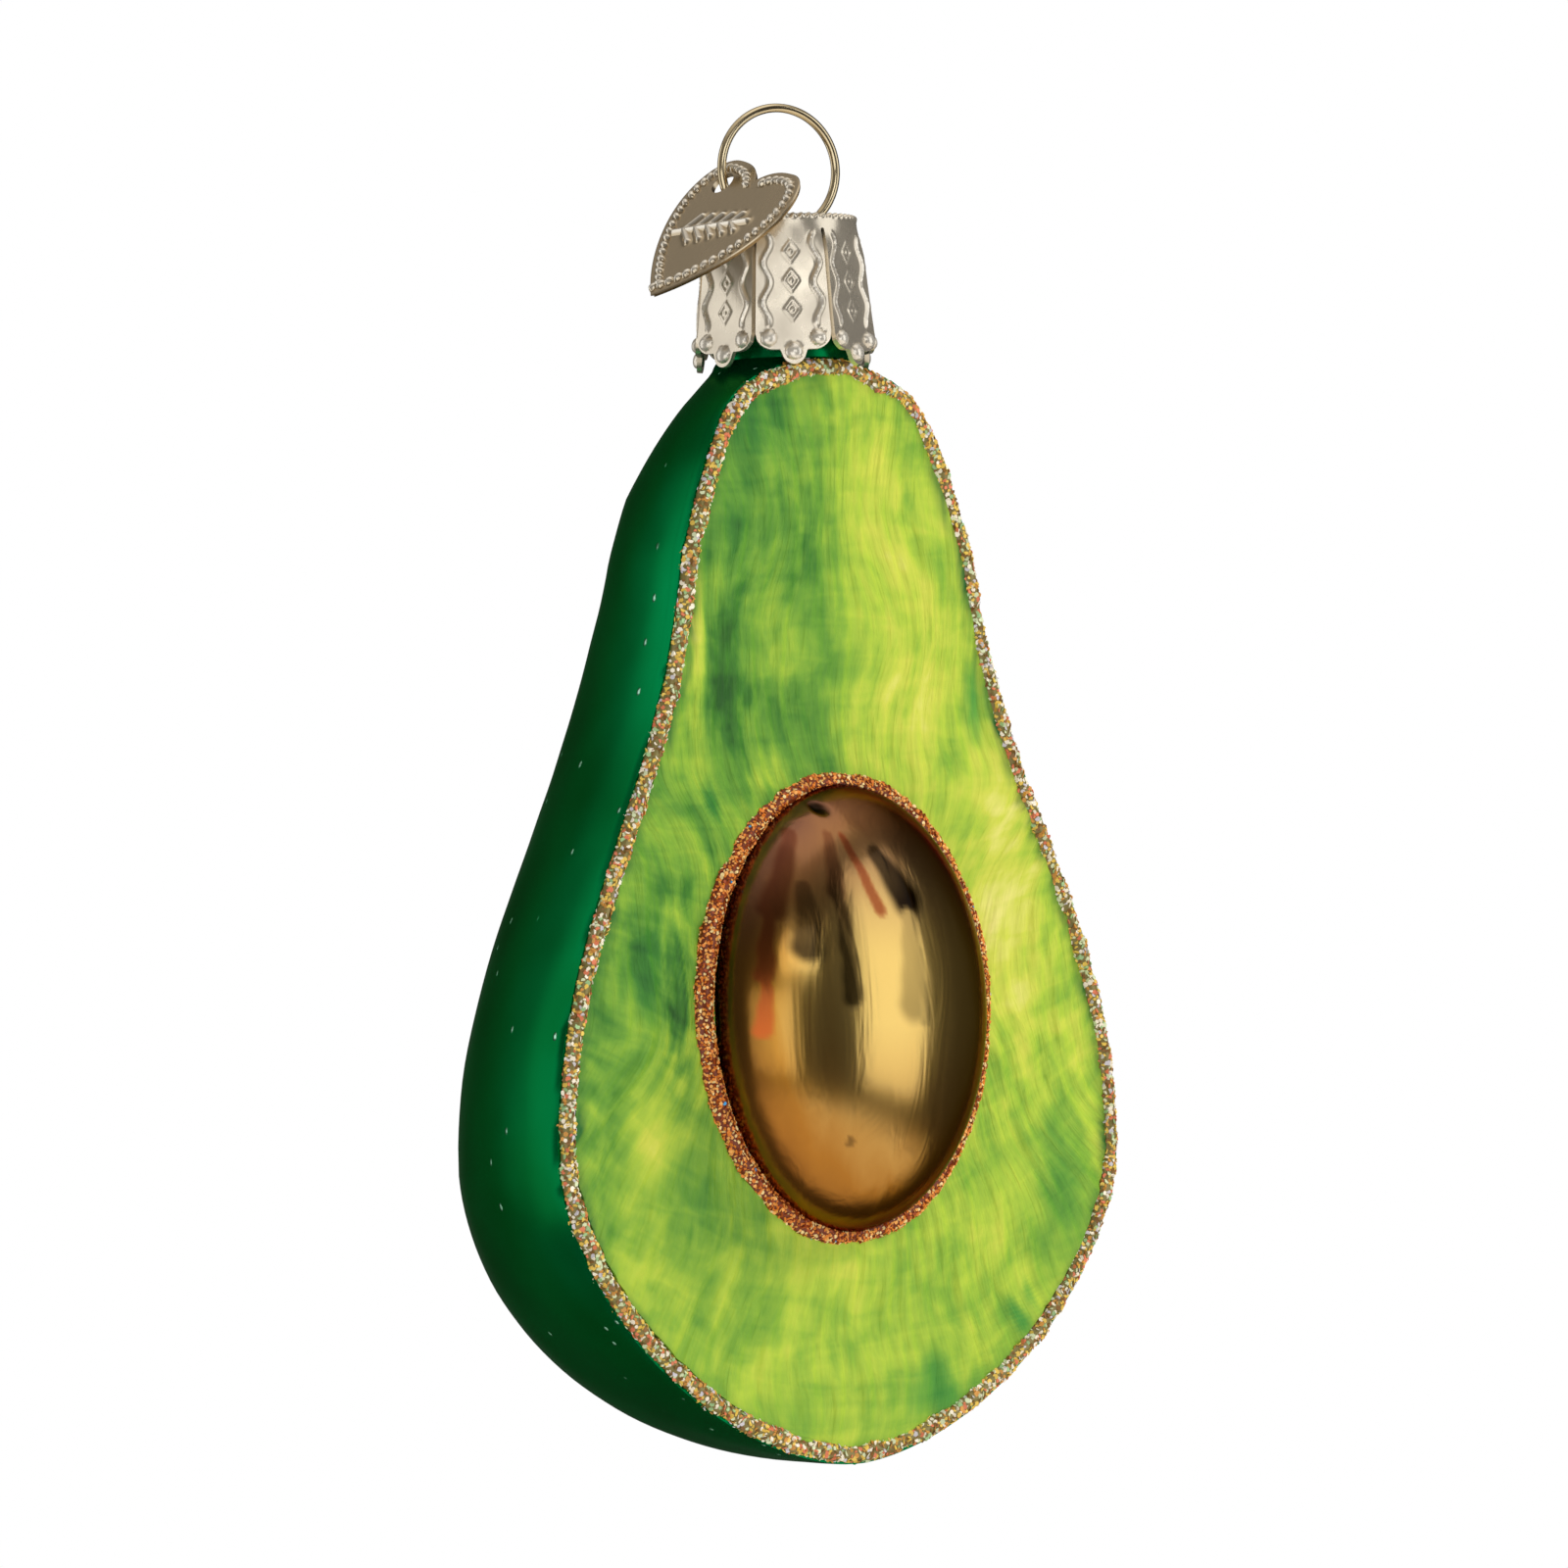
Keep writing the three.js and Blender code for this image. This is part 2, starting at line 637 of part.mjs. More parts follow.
// Beads along the heart's outline, left out where they would reach into the hole.
function tagBorder(heart) {
  const hole = new THREE.Vector2(-tagHoleSpread, -tagHoleDrop);
  const count = Math.round(heart.getLength() / tagBeadPitch);
  const line = insetPoints(heart.getSpacedPoints(count).slice(0, -1), tagBeadInset, true);
  const kept = line.filter((point) => point.distanceTo(hole) > tagHoleRadius + tagBeadRadius);
  return kept.map((point) => {
    const bead = new THREE.SphereGeometry(1, 6, 3).rotateX(Math.PI / 2);
    return bead.scale(tagBeadRadius, tagBeadRadius, tagBeadRise).translate(point.x, point.y, tagSheet);
  });
}

function raisedStroke(start, end) {
  const along = end.clone().sub(start);
  const stroke = new THREE.CapsuleGeometry(sprigThickness, along.length(), 1, 6);
  stroke.translate(0, along.length() / 2, 0).rotateZ(along.angle() - Math.PI / 2);
  return stroke.translate(start.x, start.y, tagSheet - sprigThickness / 4);
}

// A stem with pairs of leaves, raised from the sheet.
function sprig() {
  const leaf = sprigEnd.clone().sub(sprigStart).setLength(leafLength);
  const strokes = [raisedStroke(sprigStart, sprigEnd)];
  for (let i = 1; i <= leafPairs; i++) {
    const foot = sprigStart.clone().lerp(sprigEnd, (i - 0.3) / leafPairs);
    for (const side of [-1, 1]) {
      const tip = foot.clone().add(leaf).rotateAround(foot, side * degrees(leafSpread));
      strokes.push(raisedStroke(foot, tip));
    }
  }
  return strokes;
}

// The tag's turn: its front looks up and to the left, and it is spun in its own plane.
function tagTurn() {
  const lean = degrees(tagLean);
  const spin = degrees(tagSpin);
  const level = new THREE.Vector3(0, -1, 0);
  const slope = new THREE.Vector3(-Math.sin(lean), 0, -Math.cos(lean));
  const front = new THREE.Vector3(-Math.cos(lean), 0, Math.sin(lean));
  const across = level.clone().multiplyScalar(Math.cos(spin)).addScaledVector(slope, Math.sin(spin));
  return new THREE.Matrix4().makeBasis(across, front.clone().cross(across), front);
}

// Assembly

const ornament = new THREE.Group();

function addPiece(name, geometry, color, roughness, metalness) {
  const material = new THREE.MeshStandardMaterial({ color, roughness, metalness });
  const mesh = new THREE.Mesh(geometry, material);
  mesh.name = name;
  ornament.add(mesh);
  return mesh;
}

addPiece("glass_body", glassBody(), 0x004a24, 0.15, 0);
addPiece("flesh_enamel", fleshEnamel(), 0xa9c048, 0.4, 0);
addPiece("pit_lacquer", pitLacquer(), 0x6b4417, 0.12, 0.8);
addPiece("rim_glitter", rimGlitter(), 0xa88c4a, 0.45, 0.6);
addPiece("pit_glitter", pitGlitter(), 0xa85a26, 0.45, 0.6);
addPiece("cap", crownCap(), 0xbdb5a2, 0.25, 1);
addPiece("hanger_wire", hangerWire(), 0xb8a98c, 0.22, 1);

const tag = addPiece("heart_charm", heartTag(), 0x8c8069, 0.3, 1);
const tagAngle = degrees(tagRingAngle);
tag.position.copy(inRingPlane(ringRadius * Math.cos(tagAngle), ringCentreZ + ringRadius * Math.sin(tagAngle)));
tag.quaternion.setFromRotationMatrix(tagTurn());

export default ornament;
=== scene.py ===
import bpy
import math
from mathutils import Matrix, Vector, noise
from mathutils.geometry import interpolate_bezier


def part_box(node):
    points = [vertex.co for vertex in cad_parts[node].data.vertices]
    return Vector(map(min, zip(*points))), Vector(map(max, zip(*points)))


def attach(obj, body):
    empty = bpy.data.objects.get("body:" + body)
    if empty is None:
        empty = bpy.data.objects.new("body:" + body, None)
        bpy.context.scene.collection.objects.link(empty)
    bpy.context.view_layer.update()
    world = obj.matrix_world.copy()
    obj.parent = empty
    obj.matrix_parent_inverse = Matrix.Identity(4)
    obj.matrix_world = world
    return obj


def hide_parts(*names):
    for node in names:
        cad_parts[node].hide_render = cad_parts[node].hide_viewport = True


# Half-avocado ornament of blown glass: rind, brushed flesh, mirror pit, two glitter trims,
# crown cap, spring-wire ring and heart tag. Pieces are drawn in millimetres and scaled at the end.

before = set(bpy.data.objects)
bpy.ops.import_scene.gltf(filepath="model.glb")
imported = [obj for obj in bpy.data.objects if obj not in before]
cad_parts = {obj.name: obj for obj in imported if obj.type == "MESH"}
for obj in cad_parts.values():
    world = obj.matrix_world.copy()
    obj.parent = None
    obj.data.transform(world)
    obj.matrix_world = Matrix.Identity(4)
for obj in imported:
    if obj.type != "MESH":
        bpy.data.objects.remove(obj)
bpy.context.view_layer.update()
mm = 0.001
smoothAngle = math.radians(35)  # faces that meet at less than this are shaded as one


# Small helpers

def hexColor(code):
    channels = [int(code[i:i + 2], 16) / 255 for i in (1, 3, 5)]
    return [c / 12.92 if c <= 0.04045 else ((c + 0.055) / 1.055) ** 2.4 for c in channels] + [1.0]


def perMetre(size):
    # a pattern's scale on Object coordinates, from its real size in millimetres
    return 1 / (size * mm)


def addNode(tree, kind, settings=None, links=None):
    node = tree.nodes.new(kind)
    for name, value in (settings or {}).items():
        if name == "stops":  # colour ramp, as (place, sRGB hex)
            ramp = node.color_ramp
            ramp.elements[0].position, ramp.elements[-1].position = value[0][0], value[-1][0]
            for place, code in value[1:-1]:
                ramp.elements.new(place)
            for element, (place, code) in zip(ramp.elements, value):
                element.color = hexColor(code)
        elif isinstance(name, int) or name in node.inputs:
            node.inputs[name].default_value = value
        else:
            setattr(node, name, value)
    for socket, source in (links or {}).items():
        tree.links.new(source, node.inputs[socket])
    return node


def newMaterial(name, **shader):
    material = bpy.data.materials.new(name)
    material.use_nodes = True
    bsdf = material.node_tree.nodes["Principled BSDF"]
    for socket, value in shader.items():
        bsdf.inputs[socket.replace("_", " ")].default_value = value
    return material, material.node_tree, bsdf


def smooth(low, high, value):
    share = min(1, max(0, (value - low) / (high - low)))
    return share * share * (3 - 2 * share)


def drawnNoise(layer, across, along):
    # noise drawn out one way. A layer is its strength, its pace per millimetre across and along, and a seed
    strength, paceAcross, paceAlong, seed = layer
    return strength * noise.noise(Vector((across * paceAcross, along * paceAlong, seed)))


def selectOnly(piece):
    bpy.ops.object.select_all(action="DESELECT")
    piece.select_set(True)
    bpy.context.view_layer.objects.active = piece


def addPiece(name, adder, **how):
    bpy.ops.object.select_all(action="DESELECT")
    adder(**how)
    piece = bpy.context.object
    piece.name = name
    return piece


def curvePiece(name, curve):
    # a piece from a drawn curve, as a mesh
    piece = bpy.data.objects.new(name, curve)
    bpy.context.collection.objects.link(piece)
    selectOnly(piece)
    bpy.ops.object.convert(target="MESH")
    return bpy.context.object


def applyModifier(piece, kind, **settings):
    selectOnly(piece)
    modifier = piece.modifiers.new(kind.title(), kind)
    for name, value in settings.items():
        setattr(modifier, name, value)
    bpy.ops.object.modifier_apply(modifier=modifier.name)


def cutWith(piece, tool, operation):
    applyModifier(piece, "BOOLEAN", object=tool, operation=operation, solver="EXACT")
    bpy.data.objects.remove(tool)


def editSelected(piece, pick=lambda co: True):
    # selects the piece's vertices by their place and goes to edit mode
    selectOnly(piece)
    bpy.ops.object.mode_set(mode="EDIT")
    bpy.ops.mesh.select_mode(type="VERT")
    bpy.ops.mesh.select_all(action="DESELECT")
    bpy.ops.object.mode_set(mode="OBJECT")
    for vertex in piece.data.vertices:
        vertex.select = pick(piece.matrix_world @ vertex.co)
    bpy.ops.object.mode_set(mode="EDIT")


def mappedGrid(name, columns, rows, place):
    # a grid primitive whose corners (u across, v down, both 0 to 1) are moved to their places.
    # How far each one stands up in the relief is kept for the finish, where the metal gets a painted
    # highlight on raised parts
    piece = addPiece(name, bpy.ops.mesh.primitive_grid_add, x_subdivisions=columns,
                     y_subdivisions=rows, size=1)
    raised = piece.data.attributes.new("raised", "FLOAT", "POINT")
    for vertex in piece.data.vertices:
        u, v = min(1, max(0, vertex.co.x + 0.5)), min(1, max(0, 0.5 - vertex.co.y))
        vertex.co, relief = place(u, v)
        raised.data[vertex.index].value = relief
    editSelected(piece)
    bpy.ops.mesh.remove_doubles(threshold=0.002)
    bpy.ops.object.mode_set(mode="OBJECT")
    return piece


def turnFaces(piece, outside, probe=0):
    # all faces look out, judged by one of them and the side that it should look to
    editSelected(piece)
    bpy.ops.mesh.normals_make_consistent(inside=False)
    bpy.ops.object.mode_set(mode="OBJECT")
    if piece.data.polygons[probe].normal.dot(outside) < 0:
        editSelected(piece)
        bpy.ops.mesh.flip_normals()
        bpy.ops.object.mode_set(mode="OBJECT")


def turnTo(right, front):
    # the turn that lays a piece's X along right and its Z along front
    return Matrix((right, front.cross(right), front)).transposed().to_4x4()


def finishPiece(piece, node, body, material):
    # millimetres to metres, then its finish, its body and the CAD node it stands for
    selectOnly(piece)
    bpy.ops.object.transform_apply(location=True, rotation=True, scale=True)
    piece.scale = (mm, mm, mm)
    bpy.ops.object.transform_apply(location=False, rotation=False, scale=True)
    bpy.ops.object.shade_smooth_by_angle(angle=smoothAngle)
    piece.data.materials.clear()
    piece.data.materials.append(material)
    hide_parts(node)
    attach(piece, body)
    print("finished", piece.name, len(piece.data.polygons), "faces")


# Camera, light and floor

studio = {
    "azimuth": -43, "elevation": -1.5, "roll": 1.6,  # degrees
    "distance": 0.7, "lens": 213, "clipStart": 0.05,
    "aim": -50.8 * mm, "sideShift": -0.9 * mm,
    "floor": -0.25, "floorRadius": 1.6,
    "fill": 0.46,  # even light on dull surfaces
    # boxes of light: heading in degrees from the cut face's front to the right, height above the aim,
    # distance, width, height of the box, watts, and whether shiny pieces mirror it
    "boxes": {
        "leftBox": (-50, -0.16, 1.1, 0.92, 0.58, 1.9, True),
        "rightBox": (33, 0.18, 1.1, 0.72, 1.2, 2.95, True),
        "backBox": (-25, 0.34, 1.1, 0.55, 0.28, 0.75, True),
        "rindBox": (-139, 0.05, 1.0, 0.55, 1.2, 1.75, True),
        "topBox": (10, 1.2, 0.35, 0.9, 0.9, 1.2, True),
        "keyBox": (62, 0.75, 1.1, 0.4, 0.4, 11.0, False),
    },
    # the room that shiny pieces mirror: a direction, how squarely a ray has to meet it for the glow to
    # start and to be full, and its brightness before and after
    "walls": ((-0.8, 0.6, 0), -0.8, 0.9, 0.045, 0.19),
    "ceiling": ((0, 0, 1), 0.5, 0.95, 0, 0.5),
    "below": ((0, 0, -1), 0.36, 0.52, 0, 0.85),
    "front": ((0, -1, 0), 0.1, 0.4, 0, 1),
}


def placeCamera():
    azimuth, elevation, roll = (math.radians(studio[k]) for k in ("azimuth", "elevation", "roll"))
    back = Vector((math.sin(azimuth) * math.cos(elevation), -math.cos(azimuth) * math.cos(elevation),
                   math.sin(elevation)))
    level = Vector((math.cos(azimuth), math.sin(azimuth), 0))
    upright = back.cross(level)
    right = level * math.cos(roll) - upright * math.sin(roll)
    camera = bpy.data.objects.new("camera", bpy.data.cameras.new("camera"))
    bpy.context.collection.objects.link(camera)
    place = Vector((0, 0, studio["aim"])) + level * studio["sideShift"] + back * studio["distance"]
    camera.matrix_world = Matrix.Translation(place) @ turnTo(right, back)
    camera.data.lens = studio["lens"]
    camera.data.clip_start = studio["clipStart"]
    bpy.context.scene.camera = camera


def hangBox(name, heading, height, distance, width, tall, watts, mirrored):
    # an upright box of light that looks at the ornament's middle
    turn = math.radians(heading)
    light = bpy.data.lights.new(name, "AREA")
    light.shape, light.size, light.size_y = "RECTANGLE", width, tall
    light.energy = watts
    lamp = bpy.data.objects.new(name, light)
    lamp.visible_camera, lamp.visible_glossy = False, mirrored
    bpy.context.collection.objects.link(lamp)
    middle = Vector((0, 0, studio["aim"]))
    lamp.location = middle + Vector((math.sin(turn) * distance, -math.cos(turn) * distance, height))
    lamp.rotation_euler = (middle - lamp.location).to_track_quat("-Z", "Y").to_euler()


def lightStudio():
    for name, settings in studio["boxes"].items():
        hangBox(name, *settings)
    world = bpy.data.worlds.new("studio")
    bpy.context.scene.world = world
    world.use_nodes = True
    tree = world.node_tree
    tree.nodes.clear()
    path = addNode(tree, "ShaderNodeLightPath")
    heading = addNode(tree, "ShaderNodeTexCoord")

    def glow(direction, start, full, low, high):
        # brightness that grows as a mirrored ray turns towards a direction
        facing = addNode(tree, "ShaderNodeVectorMath", {"operation": "DOT_PRODUCT", 1: direction},
                         {0: heading.outputs["Generated"]})
        grown = addNode(tree, "ShaderNodeMapRange", {
            "From Min": start, "From Max": full, "To Min": low, "To Max": high,
            "interpolation_type": "SMOOTHSTEP"}, {0: facing.outputs["Value"]})
        return grown.outputs[0]

    # a dim room, lighter behind on the left, with a pale ceiling and a bright table top in front
    walls, ceiling, below, front = (glow(*studio[k]) for k in ("walls", "ceiling", "below", "front"))
    table = addNode(tree, "ShaderNodeMath", {"operation": "MULTIPLY"}, {0: below, 1: front})
    ends = addNode(tree, "ShaderNodeMath", {"operation": "ADD"}, {0: ceiling, 1: table.outputs[0]})
    dim = addNode(tree, "ShaderNodeMath", {"operation": "ADD"}, {0: walls, 1: ends.outputs[0]})
    room = addNode(tree, "ShaderNodeBackground", {"Color": hexColor("#FFF6EA")}, {"Strength": dim.outputs[0]})
    fill = addNode(tree, "ShaderNodeBackground", {"Color": hexColor("#FFFFFF"), "Strength": studio["fill"]})
    soft = addNode(tree, "ShaderNodeMixShader", {}, {0: path.outputs["Is Diffuse Ray"], 1: room.outputs[0],
                                                     2: fill.outputs[0]})
    white = addNode(tree, "ShaderNodeBackground", {"Color": hexColor("#FFFFFF"), "Strength": 1.0})
    seen = addNode(tree, "ShaderNodeMixShader", {}, {0: path.outputs["Is Camera Ray"], 1: soft.outputs[0],
                                                     2: white.outputs[0]})
    addNode(tree, "ShaderNodeOutputWorld", {}, {"Surface": seen.outputs[0]})
    bpy.context.scene.view_settings.view_transform = "Standard"


def layFloor():
    floor = addPiece("floor", bpy.ops.mesh.primitive_circle_add, vertices=96, radius=studio["floorRadius"],
                     fill_type="NGON", location=(0, 0, studio["floor"]))
    paleFloor = newMaterial("paleFloor", Base_Color=hexColor("#EDEBE6"), Roughness=0.6)[0]
    floor.data.materials.append(paleFloor)
    # the boxes reach below it, so it neither shades them nor shows in the mirrors
    floor.visible_glossy = floor.visible_shadow = False


placeCamera()
lightStudio()
layFloor()
print("studio ready")


# Sizes of the bulb, in millimetres. The outside sizes come from the frame.

glassLow, glassHigh = (Vector(corner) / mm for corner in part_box("glass_body"))
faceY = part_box("flesh_enamel")[1][1] / mm
bulb = {
    "neckRadius": 5.0, "neckTop": glassHigh.z, "neckFoot": -18.88, "neckSetback": -faceY, "blend": 2.8,
    "faceTop": -19.33, "bottom": glassLow.z, "halfWidth": glassHigh.x, "bellyDrop": 59.2,
    "shoulder": (15.0, 14.3), "crest": (9.15, 1.86), "shoulderHandle": (10.35, 0.86),
    "flankHandle": (17.4, 32.8), "bellyRun": 18.0, "faceFullness": 1.7,
    "depth": glassHigh.y - faceY, "backBellyDrop": 60.6, "backShoulder": (16.7, 9.8),
    "backCrest": (10.0, 1.5), "backShoulderHandle": (15.03, 6.86), "backFlankHandle": (22.2, 31.5),
    "backBellyRun": 9.7, "fullness": 2.1, "backFullness": 2.6, "wall": 0.9,
    "curveSteps": 40, "footSteps": 60,
    "columns": 192, "neckRings": 6, "bodyRings": 64, "ringCrowding": 1.35, "footRings": 40,
    "ringStep": 0.15, "footGap": 0.02, "tolerance": 0.01, "sharpAngle": 45, "edgeRound": 0.7,
    # the mould's skin is faintly uneven behind the face and below the cap
    "skinWaves": 0.3, "skinWaveSize": 9.0, "skinFade": (0.8, 5), "neckFade": 6,
}


def outline(points, belly, drop, fullness):
    # (reach, z) down one side: two Bezier curves and a rounded foot
    line = []
    for four in points:
        knots = [Vector((reach, bulb["faceTop"] - down, 0)) for reach, down in four]
        line += interpolate_bezier(*knots, bulb["curveSteps"])[1 if line else 0:]
    bellyZ = bulb["faceTop"] - drop
    for i in range(1, bulb["footSteps"] + 1):
        turn = i / bulb["footSteps"] * math.pi / 2
        reach = belly * max(0, math.cos(turn)) ** (2 / fullness)
        line.append(Vector((reach, bellyZ - (bellyZ - bulb["bottom"]) * math.sin(turn) ** (2 / fullness), 0)))
    return [(point.x, point.y) for point in line]


neckChord = math.sqrt(bulb["neckRadius"] ** 2 - bulb["neckSetback"] ** 2)
footDrop = bulb["faceTop"] - bulb["neckFoot"]
faceLine = outline(
    [[(neckChord, footDrop), bulb["crest"], bulb["shoulderHandle"], bulb["shoulder"]],
     [bulb["shoulder"], bulb["flankHandle"], (bulb["halfWidth"], bulb["bellyDrop"] - bulb["bellyRun"]),
      (bulb["halfWidth"], bulb["bellyDrop"])]],
    bulb["halfWidth"], bulb["bellyDrop"], bulb["faceFullness"])
backLine = outline(
    [[(bulb["neckSetback"] + bulb["neckRadius"], footDrop), bulb["backCrest"], bulb["backShoulderHandle"],
      bulb["backShoulder"]],
     [bulb["backShoulder"], bulb["backFlankHandle"],
      (bulb["depth"], bulb["backBellyDrop"] - bulb["backBellyRun"]), (bulb["depth"], bulb["backBellyDrop"])]],
    bulb["depth"], bulb["backBellyDrop"], bulb["backFullness"])

pit = {
    "halfWidth": 12.6, "halfHeight": 16.4, "bulge": faceY - glassLow.y, "z": glassLow.z + 34.2,
    "coat": 0.45, "thickness": 0.3,
    "notch": (-4.2, -52.9), "notchRadius": 0.8, "notchDepth": 0.45, "notchDarkening": (0.3, 1.1),
    # runs of lacquer: start and end (across, up), half width, then (dark, red, orange) at start and end
    "runs": [
        ((-7.2, -54.6), (-10.2, -60.5), 0.75, (0.3, 0.4, 0.1), (0.35, 0.6, 0.0)),
        ((-10.3, -60.0), (-11.3, -65.3), 0.55, (0.3, 0.6, 0.0), (0.0, 0.65, 0.5)),
        ((-11.2, -65.2), (-11.5, -69.4), 0.55, (0.0, 0.6, 0.6), (0.0, 0.2, 0.9)),
        ((-7.9, -58.8), (-8.5, -63.3), 1.2, (0.5, 0.2, 0.0), (0.9, 0.1, 0.0)),
        ((-5.0, -54.9), (-5.7, -59.2), 0.75, (0.2, 0.3, 0.1), (0.55, 0.5, 0.0)),
        ((-5.7, -59.0), (-5.6, -67.0), 0.85, (0.6, 0.4, 0.0), (0.85, 0.1, 0.0)),
        ((-4.0, -55.0), (-2.5, -60.6), 0.55, (0.0, 0.6, 0.5), (0.0, 0.6, 0.7)),
        ((-1.6, -56.4), (0.3, -59.8), 1.6, (0.85, 0.1, 0.0), (1.0, 0.1, 0.0)),
        ((0.1, -61.2), (-0.1, -67.6), 1.55, (0.3, 0.0, 0.0), (0.5, 0.0, 0.0)),
        ((0.9, -63.5), (1.0, -69.0), 0.45, (0.3, 0.0, 0.0), (0.42, 0.0, 0.0)),
        ((-5.0, -77.5), (-4.9, -77.8), 0.4, (0.5, 0.1, 0.0), (0.5, 0.1, 0.0)),
    ],
    "runNeck": 0.45,  # width of a run's start, as a share of its round end
    "runFade": (0.55, 1.3), "runWaver": (0.25, 0, 0.5, 2),
    # the thick coat's dark tone near the face is partly painted shade
    "thickTo": 0.5,  # height over the face up to which the coat keeps its full thickness
    "redBelow": (-69, -77), "roseAbove": (-65, -56),  # heights where each tint starts and is full
}


def reachAt(line, z):
    for (outA, high), (outB, low) in zip(line, line[1:]):
        if z >= low:
            return outA if z >= high else outA + (outB - outA) * (high - z) / (high - low)
    return line[-1][0]


def bulbLevel(z):
    # half width, half depth and middle of the bulb's level outline
    if z >= bulb["neckFoot"]:
        return bulb["neckRadius"], bulb["neckRadius"], 0
    settled = smooth(0, bulb["blend"], bulb["neckFoot"] - z)
    behind = bulb["neckSetback"] * (1 - settled)
    back = reachAt(backLine, z) - behind
    side = reachAt(faceLine, z) / (1 - (behind / back) ** bulb["fullness"]) ** (1 / bulb["fullness"])
    return side, back, faceY + behind


# Rind: a ring at the neck's mouth is extruded and resized down the bulb, and the front is pressed flat

def glassLevels():
    # heights of the rings: even on the neck, crowded at the shoulder and at the foot
    bellyZ = bulb["faceTop"] - bulb["bellyDrop"]
    neck, body = bulb["neckTop"] - bulb["neckFoot"], bulb["neckFoot"] - bellyZ
    foot = bellyZ - bulb["bottom"] - bulb["ringStep"] - bulb["footGap"]
    levels = [bulb["neckTop"] - i * neck / bulb["neckRings"] for i in range(1, bulb["neckRings"] + 1)]
    levels += [bulb["neckFoot"] - bulb["ringStep"] - body * (i / bulb["bodyRings"]) ** bulb["ringCrowding"]
               for i in range(bulb["bodyRings"])]
    levels += [bellyZ - bulb["ringStep"] - foot * math.sin(i / bulb["footRings"] * math.pi / 2)
               for i in range(1, bulb["footRings"] + 1)]
    return levels


def makeGlass():
    piece = addPiece("glassBulb", bpy.ops.mesh.primitive_circle_add, vertices=bulb["columns"],
                     radius=bulb["neckRadius"], location=(0, 0, bulb["neckTop"]))
    for vertex in piece.data.vertices:  # a little fuller than a circle
        for axis in (0, 1):
            share = vertex.co[axis] / bulb["neckRadius"]
            vertex.co[axis] = math.copysign(abs(share) ** (2 / bulb["fullness"]), share) * bulb["neckRadius"]
    side, back, middle, z = *bulbLevel(bulb["neckTop"]), bulb["neckTop"]
    editSelected(piece)
    for nextZ in glassLevels():
        nextSide, nextBack, nextMiddle = bulbLevel(nextZ)
        step = (0, nextMiddle - middle, nextZ - z)
        bpy.ops.mesh.extrude_region_move(TRANSFORM_OT_translate={"value": step})
        bpy.ops.transform.resize(value=(nextSide / side, nextBack / back, 1),
                                 center_override=(0, nextMiddle, nextZ))
        side, back, middle, z = nextSide, nextBack, nextMiddle, nextZ
    bpy.ops.mesh.merge(type="CENTER")
    bpy.ops.object.mode_set(mode="OBJECT")
    editSelected(piece, lambda co: co.y < faceY and co.z < bulb["neckFoot"] - bulb["tolerance"])
    bpy.ops.transform.resize(value=(1, 0, 1), center_override=(0, faceY, 0))
    bpy.ops.mesh.select_all(action="SELECT")
    bpy.ops.mesh.normals_make_consistent(inside=False)
    bpy.ops.mesh.select_all(action="DESELECT")
    bpy.ops.mesh.select_mode(type="EDGE")
    bpy.ops.mesh.edges_select_sharp(sharpness=math.radians(bulb["sharpAngle"]))
    bpy.ops.mesh.bevel(offset=bulb["edgeRound"], segments=3, clamp_overlap=True)
    bpy.ops.object.mode_set(mode="OBJECT")
    skin = piece.vertex_groups.new(name="skin")
    for vertex in piece.data.vertices:
        behind = smooth(*bulb["skinFade"], vertex.co.y - faceY)
        below = smooth(0, bulb["neckFade"], bulb["neckFoot"] - vertex.co.z - bulb["neckTop"])
        skin.add([vertex.index], behind * below, "REPLACE")
    waves = bpy.data.textures.new("skinWaves", "CLOUDS")
    waves.noise_scale, waves.noise_depth = bulb["skinWaveSize"], 1
    applyModifier(piece, "DISPLACE", texture=waves, texture_coords="LOCAL", strength=bulb["skinWaves"],
                  mid_level=0.5, vertex_group="skin")
    dome = addPiece("dome", bpy.ops.mesh.primitive_uv_sphere_add, segments=96, ring_count=48, radius=1,
                    location=(0, faceY, pit["z"]), scale=(pit["halfWidth"], pit["bulge"], pit["halfHeight"]))
    cutWith(piece, dome, "UNION")
    applyModifier(piece, "SOLIDIFY", thickness=bulb["wall"], offset=-1)
    return piece


